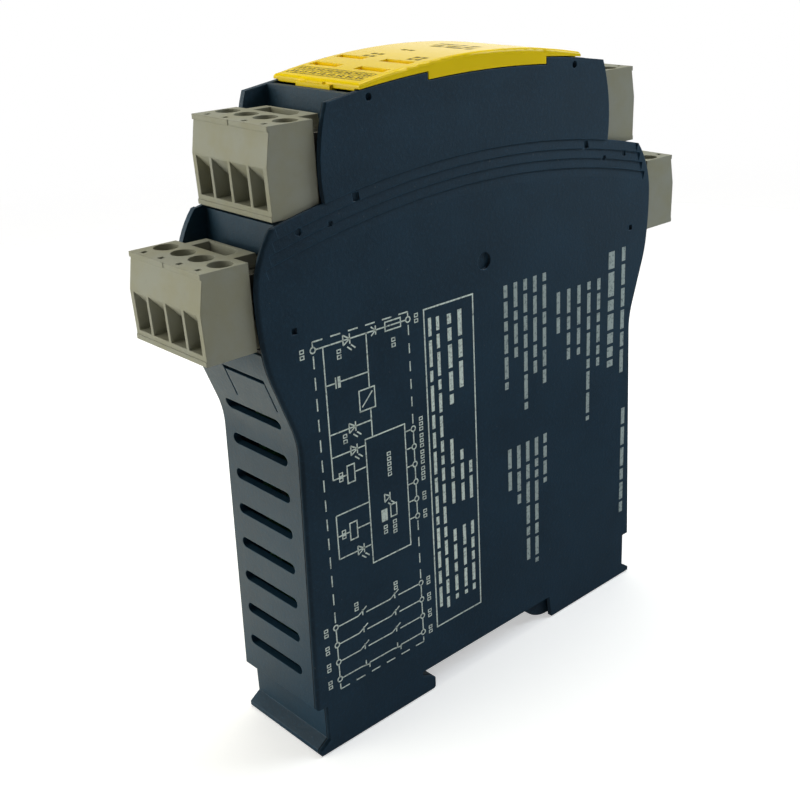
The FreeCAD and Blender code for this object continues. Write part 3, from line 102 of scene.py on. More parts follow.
class RelayColours(bpy.types.PropertyGroup):
    """Colours of the module's finishes, as linear values."""

    housing: colour("Housing", "Slate plastic of the housing and cover", 0.005, 0.028, 0.053)
    cap: colour("Front cap", "Yellow plastic of the front cap", 0.93, 0.67, 0.003)
    plug: colour("Plugs", "Light grey plastic of the terminal plugs", 0.295, 0.30, 0.248)
    header: colour("Headers", "Black plastic of the headers and the switch", 0.012, 0.012, 0.013)
    zinc: colour("Screws", "Bright zinc of the screws and cages", 0.62, 0.62, 0.60)
    tin: colour("Contacts", "Tinned metal of contacts and pins", 0.60, 0.58, 0.53)
    board: colour("Boards", "Green lacquer of the circuit boards", 0.012, 0.11, 0.035)
    relay: colour("Relays", "Off-white case of the two relays", 0.62, 0.61, 0.56)
    slider: colour("Slider", "Off-white plastic of the switch's slider", 0.70, 0.70, 0.68)
    print_light: colour("Cover lines", "Pale lines printed on the near cover", 0.72, 0.82, 0.76)
    print_field: colour("Cover bars", "Softer bars printed beside them", 0.40, 0.48, 0.47)
    print_dark: colour("Cap print", "Dark print of the front cap", 0.03, 0.028, 0.015)
    floor: colour("Floor", "Pale floor under the module", 0.88, 0.88, 0.88)


class RelaySizes(bpy.types.PropertyGroup):
    """Sizes of the finishes and the print."""

    stroke: length("Stroke", "Width of the print's lines", 0.26)
    box_stroke: length("Box stroke", "Width of the long box's outline", 0.30)
    cap_stroke: length("Cap stroke", "Width of the lines printed on the cap", 0.20)
    lift: length("Print lift", "How far the print stands off the plastic", 0.012)
    grain: length("Grain", "Size of the housing's fine grain", 0.22)
    edge: length("Edge round", "How far the moulded edges look rounded", 0.22)
    sharp_edge: length("Metal edge round", "How far the metal edges look rounded", 0.08)
    can_edge: length("Can edge round", "How far the capacitor's edge looks rounded", 0.2)
    rim_round: length("Cover rim round", "How far the cover's rim looks rounded", 1.5)
    spring_wire: length("Spring wire", "Thickness of the latch spring's wire", 0.6)
    latch_travel: length("Latch travel", "How far the rail latch can be pulled", 4.5)


class RelayCamera(bpy.types.PropertyGroup):
    """The camera that took the photograph, worked out from the module's own sizes."""

    lens: FloatProperty(name="Lens", description="Focal length on a 36 mm sensor", default=52.61,
                        unit="CAMERA")
    azimuth: angle("Azimuth", "Turn about the vertical", -44.86)
    elevation: angle("Elevation", "Height above the horizon", 22.534)
    roll: angle("Roll", "Turn about the line of sight", -1.363)
    place: FloatVectorProperty(name="Place", description="Where the camera stands", size=3,
                               subtype="TRANSLATION", unit="LENGTH",
                               default=(-0.144466, -0.155912, 0.142356))
    shift_x: FloatProperty(name="Shift X", description="Sideways shift of the frame", default=-0.1067)
    shift_y: FloatProperty(name="Shift Y", description="Upward shift of the frame", default=-0.0042)


# Materials: samples of an edge's rounding, where the dark line of the seam ends on each side, how
# far the cover's rim leans, and the pitch of the boards' copper tracks
EDGE_SAMPLES = 6
SEAM_LINE, SEAM_END = 0.08 * MM, 0.16 * MM
RIM_LEAN = 1.5
TRACK_PITCH = 1.6 * MM


class Wire:
    """A socket of a material, with arithmetic that adds Math nodes."""

    def __init__(self, paint, socket):
        self.paint = paint
        self.socket = socket

    def _math(self, operation, *others):
        return self.paint.node("ShaderNodeMath", {"operation": operation}, [self, *others])

    def __add__(self, other):
        return self._math("ADD", other)

    def __radd__(self, other):
        return self._math("ADD", other)

    def __sub__(self, other):
        return self._math("SUBTRACT", other)

    def __rsub__(self, other):
        return self.paint.node("ShaderNodeMath", {"operation": "SUBTRACT"}, [other, self])

    def __mul__(self, other):
        return self._math("MULTIPLY", other)

    def __rmul__(self, other):
        return self._math("MULTIPLY", other)

    def __abs__(self):
        return self._math("ABSOLUTE")

    def power(self, exponent):
        """The value raised to a power."""
        return self._math("POWER", exponent)

    def larger(self, other):
        """The larger of two values."""
        return self._math("MAXIMUM", other)

    def above(self, edge):
        """1 where the value passes the edge."""
        return self._math("GREATER_THAN", edge)

    def step(self, low, high):
        """0 below low, 1 above high, with a smooth change between."""
        settings = {"interpolation_type": "SMOOTHSTEP", "clamp": True}
        return self.paint.node("ShaderNodeMapRange", settings, {0: self, 1: low, 2: high})


class Paint:
    """One material on the Principled shader, or the world's light, built from expressions."""

    def __init__(self, name, tree=None):
        if tree is None:
            self.material = bpy.data.materials.new(name)
            self.material.use_nodes = True
            tree = self.material.node_tree
            self.shader = tree.nodes["Principled BSDF"]
        self.tree = tree
        self.place = self.node("ShaderNodeTexCoord", output="Object")

    def link(self, value, socket):
        """Links another node's output to a socket, or sets the socket's own value."""
        if isinstance(value, Wire):
            self.tree.links.new(value.socket, socket)
        elif socket.type == "RGBA" and len(value) == 3:
            socket.default_value = (*value, 1.0)
        else:
            socket.default_value = value

    def node(self, kind, settings=None, inputs=None, output=0):
        """Adds a node: its settings first, then the values or links of its sockets."""
        made = self.tree.nodes.new(kind)
        for name, value in (settings or {}).items():
            setattr(made, name, value)
        given = inputs.items() if isinstance(inputs, dict) else enumerate(inputs or [])
        for name, value in given:
            self.link(value, made.inputs[name])
        return Wire(self, made.outputs[output])

    def noise(self, feature, detail=2.0, rough=0.5, stretch=(1.0, 1.0, 1.0), seed=0.0):
        """Cloudy noise whose patches are about one feature wide."""
        place = self.node("ShaderNodeMapping", inputs={
            "Vector": self.place,
            "Location": (seed, seed * 0.7, seed * 1.3),
            "Scale": stretch,
        })
        return self.node("ShaderNodeTexNoise", inputs={
            "Vector": place,
            "Scale": 1.0 / feature,
            "Detail": detail,
            "Roughness": rough,
        })

    def axes(self):
        """The three coordinates of the surface point."""
        split = self.node("ShaderNodeSeparateXYZ", inputs=[self.place]).socket.node
        return [Wire(self, socket) for socket in split.outputs]

    def lanes(self, place, pitch):
        """1 along straight tracks that repeat with the pitch, 0 between them."""
        lane = self.node("ShaderNodeMath", {"operation": "FRACT"}, [place * (1.0 / pitch)])
        return abs(lane - 0.5).step(0.16, 0.13)

    def mix(self, mask, base, top):
        """Base colour where the mask is 0, top colour where it is 1."""
        return self.node("ShaderNodeMix", {"data_type": "RGBA"}, {0: mask, 6: base, 7: top}, output=2)

    def rounded(self, radius):
        """The normal, turned near the edges as if they were rounded."""
        return self.node("ShaderNodeBevel", {"samples": EDGE_SAMPLES}, {"Radius": radius})

    def rim(self, rounded):
        """1 along the edges, where the rounded normal leaves the flat one."""
        flat = self.node("ShaderNodeNewGeometry", output="Normal")
        product = {"operation": "DOT_PRODUCT"}
        facing = self.node("ShaderNodeVectorMath", product, [rounded, flat], output=1)
        return (1.0 - facing).step(0.01, 0.25)

    def turned(self, normal, direction, amount):
        """The normal leaned towards a direction, more with a larger amount."""
        scaled = {0: direction, "Scale": amount}
        push = self.node("ShaderNodeVectorMath", {"operation": "SCALE"}, scaled)
        leaned = self.node("ShaderNodeVectorMath", {"operation": "ADD"}, [normal, push])
        return self.node("ShaderNodeVectorMath", {"operation": "NORMALIZE"}, [leaned])

    def bump(self, height, depth, normal, strength):
        """The normal, tilted as the height changes over the surface."""
        return self.node("ShaderNodeBump", inputs={
            "Strength": strength,
            "Distance": depth,
            "Height": height,
            "Normal": normal,
        })

    def finish(self, **sockets):
        """Feeds the Principled shader's sockets, named with underscores for spaces."""
        for name, value in sockets.items():
            self.link(value, self.shader.inputs[name.replace("_", " ")])
        return self.material


def shade(tone, factor):
    """The colour made darker or paler by a factor."""
    return tuple(channel * factor for channel in tone)


def slate_plastic(name, tone, grain, edge, roll=0.0):
    """Spark-eroded moulded plastic: fine grain, faint clouding, paler edges (partly rubbed wear, partly
    painted highlight), a little dust, and a dark line along the seam of the cover. A roll rounds the
    rim of the cover from its near face inwards."""
    paint = Paint(name)
    across = paint.axes()[1]
    line = 1.0 - abs(across - SEAM).step(SEAM_LINE, SEAM_END)
    fine = paint.noise(grain, 3.0, 0.6)
    cloud = paint.noise(18 * MM, 3.0, 0.55, seed=3.0)
    rubbed = paint.noise(4 * MM, 4.0, 0.7, seed=5.0)
    grit = paint.noise(0.7 * MM, 2.0, 0.6, seed=6.0)
    dust = paint.noise(0.7 * MM, 0.0, seed=9.0).step(0.83, 0.86)
    rounded = paint.rounded(edge)
    # Mask of the paler edges: partly rubbed wear, partly a painted highlight where the rounded edges
    # catch light
    wear_and_highlight = paint.rim(rounded) * (0.35 + rubbed.step(0.42, 0.72) * 0.65)
    tint = paint.mix(cloud.step(0.3, 0.7), shade(tone, 0.86), shade(tone, 1.14))
    tint = paint.mix(fine.step(0.35, 0.75) * 0.18, tint, shade(tone, 2.4))
    tint = paint.mix(grit.step(0.48, 0.72) * 0.22, tint, shade(tone, 2.4))
    tint = paint.mix(wear_and_highlight * 0.55, tint, shade(tone, 5.5))
    tint = paint.mix(dust * 0.16, tint, (0.30, 0.30, 0.28))
    tint = paint.mix(line * 0.92, tint, shade(tone, 0.1))
    gloss = 0.34 + fine * 0.10 + cloud * 0.06 + grit * 0.14 + rubbed * 0.12 + dust * 0.3 + line * 0.4
    if roll:
        lean = (1.0 - (across - NEAR_FACE).step(0.0, roll)) * RIM_LEAN
        rounded = paint.turned(rounded, (0.0, -1.0, 0.0), lean)
    return paint.finish(
        Base_Color=tint,
        Roughness=gloss,
        Specular_IOR_Level=0.4,
        Normal=paint.bump(fine + grit * 1.8 - line * 3.0, 0.04 * MM, rounded, 0.6),
    )


def cap_plastic(name, tone, edge):
    """Smooth yellow plastic with a soft sheen, slightly deeper where it is thin or soiled."""
    paint = Paint(name)
    cloud = paint.noise(12 * MM, 3.0, 0.5)
    fine = paint.noise(0.4 * MM, 2.0, 0.5, seed=2.0)
    soil = paint.noise(2.2 * MM, 5.0, 0.75, seed=7.0)
    rounded = paint.rounded(edge)
    tint = paint.mix(cloud.step(0.25, 0.75), shade(tone, 0.95), tone)
    tint = paint.mix(paint.rim(rounded) * soil.step(0.55, 0.8) * 0.5, tint, (0.30, 0.17, 0.01))
    return paint.finish(
        Base_Color=tint,
        Specular_IOR_Level=0.22,
        Roughness=0.20 + cloud * 0.06 + fine * 0.04,
        Normal=paint.bump(fine, 0.02 * MM, rounded, 0.4),
    )


def plug_plastic(name, tone, edge):
    """Light grey filled plastic: faint grain, yellowed patches, brown specks along its edges."""
    paint = Paint(name)
    cloud = paint.noise(7 * MM, 4.0, 0.6)
    fine = paint.noise(0.22 * MM, 2.0, 0.5, seed=4.0)
    patches = paint.noise(1.6 * MM, 5.0, 0.8, seed=6.0)
    specks = paint.noise(0.9 * MM, 3.0, 0.8, seed=8.0).step(0.63, 0.70)
    rounded = paint.rounded(edge)
    rim = paint.rim(rounded)
    yellowed = (tone[0] * 0.97, tone[1] * 0.93, tone[2] * 0.80)
    tint = paint.mix(cloud.step(0.3, 0.75), tone, yellowed)
    tint = paint.mix(rim * 0.30, tint, shade(tone, 1.25))
    tint = paint.mix(patches.step(0.56, 0.8) * 0.35, tint, shade(tone, 0.72))
    tint = paint.mix(rim * specks * 0.75, tint, (0.09, 0.07, 0.04))
    return paint.finish(
        Base_Color=tint,
        Specular_IOR_Level=0.2,
        Roughness=0.52 + cloud * 0.10,
        Normal=paint.bump(fine, 0.03 * MM, rounded, 0.5),
    )


def black_plastic(name, tone, edge):
    """Plain black moulding with a fine matt grain."""
    paint = Paint(name)
    fine = paint.noise(0.25 * MM, 2.0, 0.6)
    rounded = paint.rounded(edge)
    tint = paint.mix(paint.rim(rounded) * 0.3, tone, shade(tone, 3.0))
    return paint.finish(
        Base_Color=tint,
        Roughness=0.45 + fine * 0.15,
        Normal=paint.bump(fine, 0.02 * MM, rounded, 0.4),
    )


def plated_metal(name, tone, edge, rough):
    """Plated metal with turning marks and a faint stain."""
    paint = Paint(name)
    marks = paint.noise(0.2 * MM, 3.0, 0.7, stretch=(1.0, 1.0, 6.0))
    stain = paint.noise(1.4 * MM, 3.0, 0.6, seed=3.0)
    rounded = paint.rounded(edge)
    tint = paint.mix(stain.step(0.4, 0.75) * 0.5, tone, shade(tone, 0.62))
    tint = paint.mix(paint.rim(rounded) * 0.4, tint, shade(tone, 1.2))
    return paint.finish(
        Base_Color=tint,
        Metallic=1.0,
        Roughness=rough + stain * 0.15,
        Normal=paint.bump(marks, 0.01 * MM, rounded, 0.5),
    )


def board_lacquer(name, tone, edge):
    """Green solder lacquer over copper tracks, which run in straight lanes across the board."""
    paint = Paint(name)
    axes = paint.axes()
    upright = paint.lanes(axes[0], TRACK_PITCH)
    level = paint.lanes(axes[2], TRACK_PITCH)
    region = paint.noise(11 * MM, 0.0, seed=2.0)
    tracks = upright * region.above(0.52) + level * (0.44 - region).above(0.0)
    pads = paint.noise(1.9 * MM, 0.0, seed=5.0).step(0.74, 0.76)
    over_copper = (tone[0] * 2.2, tone[1] * 1.6, tone[2] * 1.6)
    tint = paint.mix(tracks, tone, over_copper)
    tint = paint.mix(pads, tint, (0.55, 0.54, 0.50))
    return paint.finish(
        Base_Color=tint,
        Metallic=pads,
        Roughness=0.32,
        Normal=paint.bump(tracks, 0.03 * MM, paint.rounded(edge), 0.6),
    )


def clear_resin(name):
    """Milky clear resin of the status lights."""
    paint = Paint(name)
    cloud = paint.noise(2 * MM, 2.0)
    tint = paint.mix(cloud, (0.62, 0.70, 0.60), (0.80, 0.84, 0.78))
    return paint.finish(Base_Color=tint, Roughness=0.12 + cloud * 0.05, Coat_Weight=0.6)


def drawn_can(name, edge):
    """Bare aluminium can with lengthwise drawing marks."""
    paint = Paint(name)
    marks = paint.noise(0.3 * MM, 3.0, 0.7, stretch=(1.0, 0.05, 1.0))
    return paint.finish(
        Base_Color=paint.mix(marks, (0.55, 0.56, 0.58), (0.72, 0.73, 0.74)),
        Metallic=1.0,
        Roughness=0.28 + marks * 0.12,
        Normal=paint.bump(marks, 0.01 * MM, paint.rounded(edge), 0.5),
    )


def print_ink(name, tone, cover):
    """Pad print: slightly uneven ink with the plastic showing faintly through."""
    paint = Paint(name)
    cloud = paint.noise(0.6 * MM, 3.0, 0.7)
    large = paint.noise(12 * MM, 2.0, 0.5, seed=4.0)
    ink = cloud.step(0.15, 0.55) * (0.75 + large * 0.35)
    tint = paint.mix(ink, cover, tone)
    return paint.finish(Base_Color=tint, Specular_IOR_Level=0.2, Roughness=0.55 + cloud * 0.1)


def dress(material, *names):
    """Gives the material to CAD nodes."""
    for name in names:
        slots = NODES[name].data.materials
        slots.clear()
        slots.append(material)


# Surfaces worked out as arrays

def new_mesh(name, points, faces, material, body):
    """Puts arrays of points and faces into a mesh that rides on a body."""
    mesh = bpy.data.meshes.new(name)
    mesh.from_pydata(points.tolist(), [], faces.tolist())
    mesh.update()
    mesh.materials.append(material)
    piece = bpy.data.objects.new(name, mesh)
    bpy.context.scene.collection.objects.link(piece)
    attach(piece, body)
    return piece


# Marks of the print, in millimetres: the radius of a terminal's ring, the small boxes of a label,
# the bars, and the strokes of a light's sign about its middle
RING = 0.5
LABEL_WIDE, LABEL_TALL, LABEL_STROKE = 0.72, 0.56, 0.20
SHORT_BAR, LONG_BAR, BAR_GAP, LEAST_REST = 1.6, 5.2, 0.75, 0.8
LIGHT_STROKES = (
    (-0.6, -0.9, -0.6, 0.9),
    (-0.6, -0.9, 0.8, 0.0),
    (-0.6, 0.9, 0.8, 0.0),
    (0.8, -0.9, 0.8, 0.9),
    (0.2, -1.3, 1.1, -2.1),
    (1.0, -1.1, 1.9, -1.9),
)


class Print:
    """Collects flat strokes on a plane as four-cornered faces, in millimetres.

    A stroke from a to b is the rectangle a ± n·w/2, b ± n·w/2, where n is the unit normal of
    b − a. A ring is a run of short strokes between angles. The plane gives the third coordinate
    afterwards."""

    def __init__(self, stroke):
        self.stroke = stroke
        self.quads = []

    def line(self, x0, z0, x1, z1, width=None):
        """A straight stroke. Only its width is in metres, as the sizes are."""
        width = (self.stroke if width is None else width) / MM
        start, end = np.array([x0, z0], float), np.array([x1, z1], float)
        along = (end - start) / np.linalg.norm(end - start)
        across = np.array([-along[1], along[0]]) * width / 2
        self.quads.append([start + across, start - across, end - across, end + across])

    def dashes(self, x0, z0, x1, z1, dash, gap):
        """A dashed line that starts and ends with a dash."""
        start, end = np.array([x0, z0], float), np.array([x1, z1], float)
        total = np.linalg.norm(end - start)
        count = max(1, round((total + gap) / (dash + gap)))
        step = (total + gap) / count
        along = (end - start) / total
        for index in range(count):
            a = start + along * index * step
            b = a + along * (step - gap)
            self.line(*a, *b)

    def box(self, x0, z0, x1, z1, width=None):
        """An outlined box, whose level strokes run past its corners."""
        w = (self.stroke if width is None else width) / MM / 2
        self.line(x0 - w, z0, x1 + w, z0, width)
        self.line(x0 - w, z1, x1 + w, z1, width)
        self.line(x0, z0 + w, x0, z1 - w, width)
        self.line(x1, z0 + w, x1, z1 - w, width)

    def field(self, x0, z0, x1, z1):
        """A filled box."""
        self.line((x0 + x1) / 2, z0, (x0 + x1) / 2, z1, abs(x1 - x0) * MM)

    def ring(self, x, z, sides=24):
        """A terminal's ring about (x, z)."""
        turn = np.linspace(0, 2 * np.pi, sides + 1)
        outward = np.stack([np.cos(turn), np.sin(turn)], 1)
        centre = np.array([x, z])
        half = self.stroke / MM / 2
        for a, b in zip(outward[:-1], outward[1:]):
            self.quads.append([centre + a * (RING - half), centre + a * (RING + half),
                               centre + b * (RING + half), centre + b * (RING - half)])

    def light(self, x, z, size=1.0):
        """A diode: a triangle across the wire with a bar at its tip and two short rays."""
        for x0, z0, x1, z1 in LIGHT_STROKES:
            self.line(x + x0 * size, z + z0 * size, x + x1 * size, z + z1 * size)

    def label(self, x, z, count):
        """A label of small outlined boxes below one another."""
        half_wide, half_tall = LABEL_WIDE / 2, LABEL_TALL / 2
        for index in range(count):
            middle = z + (count - 1) / 2 - index
            self.box(x - half_wide, middle - half_tall, x + half_wide, middle + half_tall,
                     LABEL_STROKE * MM)

    def bars(self, x, top, bottom, height, seed):
        """A row of bars of uneven lengths that runs down from top to bottom."""
        chance = np.random.default_rng(seed)
        z = top
        while z - bottom > LEAST_REST:
            bar = min(chance.uniform(SHORT_BAR, LONG_BAR), z - bottom)
            self.field(x - height / 2, z - bar, x + height / 2, z)
            z -= bar + BAR_GAP

    def arrays(self):
        """The corners in metres, and the faces as rows of four corners."""
        corners = np.array(self.quads).reshape(-1, 2) * MM
        faces = np.arange(len(corners)).reshape(-1, 4)
        return corners, faces


def facing_out(points, faces, wanted):
    """Turns the faces over whose normal points away from the wanted direction."""
    a, b, c = (points[faces[:, index]] for index in range(3))
    wrong = np.cross(b - a, c - a) @ np.array(wanted) < 0
    faces[wrong] = faces[wrong][:, ::-1]
    return faces


# The latch spring: its turns, the sides of its wire's ring, and the faces that close an end
SPRING_TURNS = 6
WIRE_SIDES = 8
WIRE_LID = ((0, 1, 2, 3), (0, 3, 4, 7), (7, 4, 5, 6))


def coil(low, high, wire, turns, steps=24):
    """A wire wound about X between two corners of a box. Its middle line is
    (x0 + (x1 − x0)·t, y − r·sin a, z + r·cos a) with a = 2π·turns·t, and each section is an
    eight-sided ring of the wire's radius across that line. A lid of three faces closes each end."""
    middle = (np.array(low) + np.array(high)) / 2
    radius = (high[2] - low[2]) / 2 - wire
    reach = high[0] - low[0] - 2 * wire
    along = np.linspace(0.0, 1.0, turns * steps + 1)
    turn = 2 * np.pi * turns * along
    still = np.zeros_like(turn)
    outward = np.stack([still, -np.sin(turn), np.cos(turn)], 1)
    line = middle + outward * radius
    line[:, 0] = low[0] + wire + reach * along
    rise = still + reach / (2 * np.pi * turns)
    ahead = np.stack([rise, -radius * np.cos(turn), -radius * np.sin(turn)], 1)
    ahead /= np.linalg.norm(ahead, axis=1)[:, None]
    across = np.cross(ahead, outward)
    side = np.linspace(0, 2 * np.pi, WIRE_SIDES + 1)[:-1, None]
    rings = line[:, None] + wire * (np.cos(side) * outward[:, None] + np.sin(side) * across[:, None])
    start = (np.arange(len(turn) - 1) * WIRE_SIDES)[:, None]
    first = start + np.arange(WIRE_SIDES)
    second = start + np.roll(np.arange(WIRE_SIDES), -1)
    walls = np.stack([first, second, second + WIRE_SIDES, first + WIRE_SIDES], 2).reshape(-1, 4)
    lid = np.array(WIRE_LID)
    faces = np.concatenate([walls, lid[:, ::-1], lid + first[-1, 0] + WIRE_SIDES])
    return rings.reshape(-1, 3), faces


# Places of the cover's print, in millimetres on the near face: X first, then Z
FRAME_LEFT, FRAME_RIGHT = -39.4, -18.9
FRAME_TOP, FRAME_FOOT = 79.2, 12.1
LEFT_LABELS, RIGHT_LABELS = FRAME_LEFT - 2.2, FRAME_RIGHT + 1.9
SIDE_DASH, END_DASH = (2.1, 1.5), (1.9, 1.6)
FEED_TOP, FEED_HALF = 77.8, 0.8
FIRST_BUS, SECOND_BUS = -37.4, -28.3
CAPACITOR_ROW, CAPACITOR_HALF = 70.9, 1.0
CONVERTER_TOP, CONVERTER_FOOT = 68.0, 64.2
LIGHT_X, UPPER_LIGHT, LOWER_LIGHT = -32.6, 62.0, 57.8
UPPER_COIL, LOWER_COIL = (-34.3, 53.7), (-34.6, 42.7)
COIL_WIDE, COIL_UP, COIL_DOWN = 1.6, 1.6, 1.7
LOOP_TOP, LOOP_FOOT = 46.8, 38.3
LOGIC_LEFT, LOGIC_RIGHT = -29.95, -20.9
LOGIC_TOP, LOGIC_FOOT = 58.8, 34.4
TERMINAL_TOP, TERMINAL_STEP, TERMINALS = 57.2, 3.52, 6
SWITCH_TOP, SWITCH_STEP, SWITCHES = 25.2, 3.65, 4
LEFT_BLADE, LEFT_CONTACT = -34.3, -32.4
RIGHT_BLADE, RIGHT_CONTACT = -26.6, -24.6
BLADE_REACH, BLADE_MARK, BLADE_STOP = 2.1, 1.1, 1.9
OPEN_TIP, CLOSED_TIP = 1.2, -0.35
BOX_LEFT, BOX_RIGHT = -15.2, -3.2
BOX_TOP, BOX_FOOT = 78.6, 13.6


def draw_frame(ink):
    """The dashed frame with its terminal rings and their labels."""
    below_feed, above_switches = FEED_TOP - 2 * RING, SWITCH_TOP + 2 * RING
    last_terminal = TERMINAL_TOP - (TERMINALS - 1) * TERMINAL_STEP
    ink.dashes(FRAME_LEFT, below_feed, FRAME_LEFT, above_switches, *SIDE_DASH)
    ink.dashes(FRAME_RIGHT, below_feed, FRAME_RIGHT, TERMINAL_TOP + 2 * RING, *SIDE_DASH)
    ink.dashes(FRAME_RIGHT, last_terminal - 2 * RING, FRAME_RIGHT, above_switches, *SIDE_DASH)
    ink.dashes(FRAME_LEFT, FRAME_TOP, FRAME_RIGHT, FRAME_TOP, *END_DASH)
    ink.dashes(FRAME_LEFT, FRAME_FOOT, FRAME_RIGHT, FRAME_FOOT, *END_DASH)
    for x in (FRAME_LEFT, FRAME_RIGHT):
        ink.line(x, FRAME_TOP, x, FRAME_TOP - 0.9)
        ink.line(x, FRAME_FOOT, x, FRAME_FOOT + 1.2)
        ink.ring(x, FEED_TOP)
        for index in range(SWITCHES):
            ink.ring(x, SWITCH_TOP - index * SWITCH_STEP)
        for index in range(SWITCHES - 1):
            z = SWITCH_TOP - index * SWITCH_STEP
            ink.line(x, z - RING, x, z - SWITCH_STEP + RING)
    for x in (LEFT_LABELS, RIGHT_LABELS):
        ink.label(x, FEED_TOP - 0.2, 2)
        for index in range(SWITCHES):
            ink.label(x, SWITCH_TOP - 0.2 - index * SWITCH_STEP, 2)


def draw_coil(ink, left, row):
    """A row from the first bus to the middle box, with a relay's coil on it."""
    right = left + COIL_WIDE
    ink.line(FIRST_BUS, row, left, row)
    ink.line(right, row, LOGIC_LEFT, row)
    ink.box(left, row - COIL_DOWN, right, row + COIL_UP)


def draw_supply(ink):
    """The feed line with its fuse, its diode and a light, the two buses, and between them a
    capacitor, a converter, two lights and the upper coil."""
    fuse_left, fuse_right = -24.1, -20.6
    ink.line(FRAME_LEFT + RING, FEED_TOP, FRAME_RIGHT - RING, FEED_TOP)
    ink.box(fuse_left, FEED_TOP - FEED_HALF, fuse_right, FEED_TOP + FEED_HALF)
    tip, back = -26.2, -27.2
    ink.line(tip, FEED_TOP - FEED_HALF, tip, FEED_TOP + FEED_HALF)
    ink.line(back, FEED_TOP - FEED_HALF, tip, FEED_TOP)
    ink.line(back, FEED_TOP + FEED_HALF, tip, FEED_TOP)
    ink.light(LIGHT_X, FEED_TOP)
    ink.line(FIRST_BUS, FEED_TOP, FIRST_BUS, UPPER_COIL[1])
    ink.line(SECOND_BUS, FEED_TOP, SECOND_BUS, CONVERTER_TOP)
    ink.line(SECOND_BUS, CONVERTER_FOOT, SECOND_BUS, LOGIC_TOP)
    thin, thick, thick_end = -35.3, -34.9, -34.3
    ink.line(FIRST_BUS, CAPACITOR_ROW, thin, CAPACITOR_ROW)
    ink.line(thick_end - 0.2, CAPACITOR_ROW, SECOND_BUS, CAPACITOR_ROW)
    ink.line(thin, CAPACITOR_ROW - CAPACITOR_HALF, thin, CAPACITOR_ROW + CAPACITOR_HALF)
    ink.field(thick, CAPACITOR_ROW - CAPACITOR_HALF, thick_end, CAPACITOR_ROW + CAPACITOR_HALF)
    left, right = -30.6, -27.2
    ink.box(left, CONVERTER_FOOT, right, CONVERTER_TOP)
    ink.line(left + 0.5, CONVERTER_FOOT + 0.7, right - 0.5, CONVERTER_TOP - 0.7)
    ink.line(FIRST_BUS, UPPER_LIGHT, SECOND_BUS, UPPER_LIGHT)
    ink.light(LIGHT_X, UPPER_LIGHT)
    ink.line(FIRST_BUS, LOWER_LIGHT, LOGIC_LEFT, LOWER_LIGHT)
    ink.light(LIGHT_X, LOWER_LIGHT)
    draw_coil(ink, *UPPER_COIL)
    for x, z in ((-34.2, 75.7), (-22.4, 74.6), (-34.2, 60.4), (-35.7, 53.7)):
        ink.label(x, z, 2)


def draw_logic(ink):
    """The middle box with its terminals, its inner signs and the lower coil's loop."""
    ink.box(LOGIC_LEFT, LOGIC_FOOT, LOGIC_RIGHT, LOGIC_TOP)
    for index in range(TERMINALS):
        z = TERMINAL_TOP - index * TERMINAL_STEP
        ink.line(LOGIC_RIGHT, z, FRAME_RIGHT - RING, z)
        ink.ring(FRAME_RIGHT, z)
        if index < TERMINALS - 1:
            ink.line(FRAME_RIGHT, z - RING, FRAME_RIGHT, z - TERMINAL_STEP + RING)
    for z in (LOOP_TOP, LOOP_FOOT):
        ink.line(FIRST_BUS, z, LOGIC_LEFT, z)
    ink.line(FIRST_BUS, LOOP_TOP, FIRST_BUS, LOOP_FOOT)
    draw_coil(ink, *LOWER_COIL)
    ink.light(LIGHT_X, LOOP_FOOT)
    ink.light(-25.9, 46.1, 0.9)
    ink.box(-25.2, 41.9, -23.8, 44.3)
    ink.field(-27.4, 41.6, -26.0, 44.0)
    for x, z, count in ((-24.4, 39.7, 3), (-26.6, 39.9, 2), (-24.9, 52.4, 5), (-36.0, 42.7, 2)):
        ink.label(x, z, count)
    for z, count in ((57.6, 3), (54.3, 3), (51.0, 3), (47.7, 3), (43.1, 2), (39.4, 2)):
        ink.label(RIGHT_LABELS, z, count)


def draw_switches(ink):
    """Four rows of contacts with two blades each, open in all rows but the last."""
    spans = (
        (FRAME_LEFT + RING, LEFT_BLADE),
        (LEFT_CONTACT, RIGHT_BLADE),
        (RIGHT_CONTACT, FRAME_RIGHT - RING),
    )
    for index in range(SWITCHES):
        z = SWITCH_TOP - index * SWITCH_STEP
        closed = index == SWITCHES - 1
        for start, end in spans:
            ink.line(start, z, end, z)
        for x in (LEFT_BLADE, RIGHT_BLADE):
            ink.line(x, z, x + BLADE_REACH, z + (CLOSED_TIP if closed else OPEN_TIP))
            ink.line(x + BLADE_MARK, z - 0.3, x + BLADE_MARK, z + 0.9)
            if closed:
                ink.line(x + BLADE_STOP, z, x + BLADE_STOP, z - 1.0)
    ink.label(-34.5, SWITCH_TOP + 2.1, 2)
    ink.label(-25.1, SWITCH_TOP + 2.3, 2)


def draw_box_rows(ink):
    """Plain bars in the long box: two long rows, two head rows with large bars, and three rows
    in two halves. A row has its X, its top and foot, and the height of its bars."""
    long_rows = ((-13.9, 76.8, 17.0, 0.75), (-12.0, 76.6, 16.6, 0.75))
    head_rows = ((-9.2, 76.4, 58.0, 1.0), (-6.6, 76.6, 60.0, 1.0))
    for seed, (x, top, foot, height) in enumerate((*long_rows, *head_rows), 1):
        ink.bars(x, top, foot, height, seed)
    for index, x in enumerate((-9.6, -7.1, -4.9)):
        ink.bars(x, 52.0 - 3.0 * index, 38.0, 0.8, 10 + index)
        ink.bars(x, 33.0, 17.5, 0.8, 20 + index)


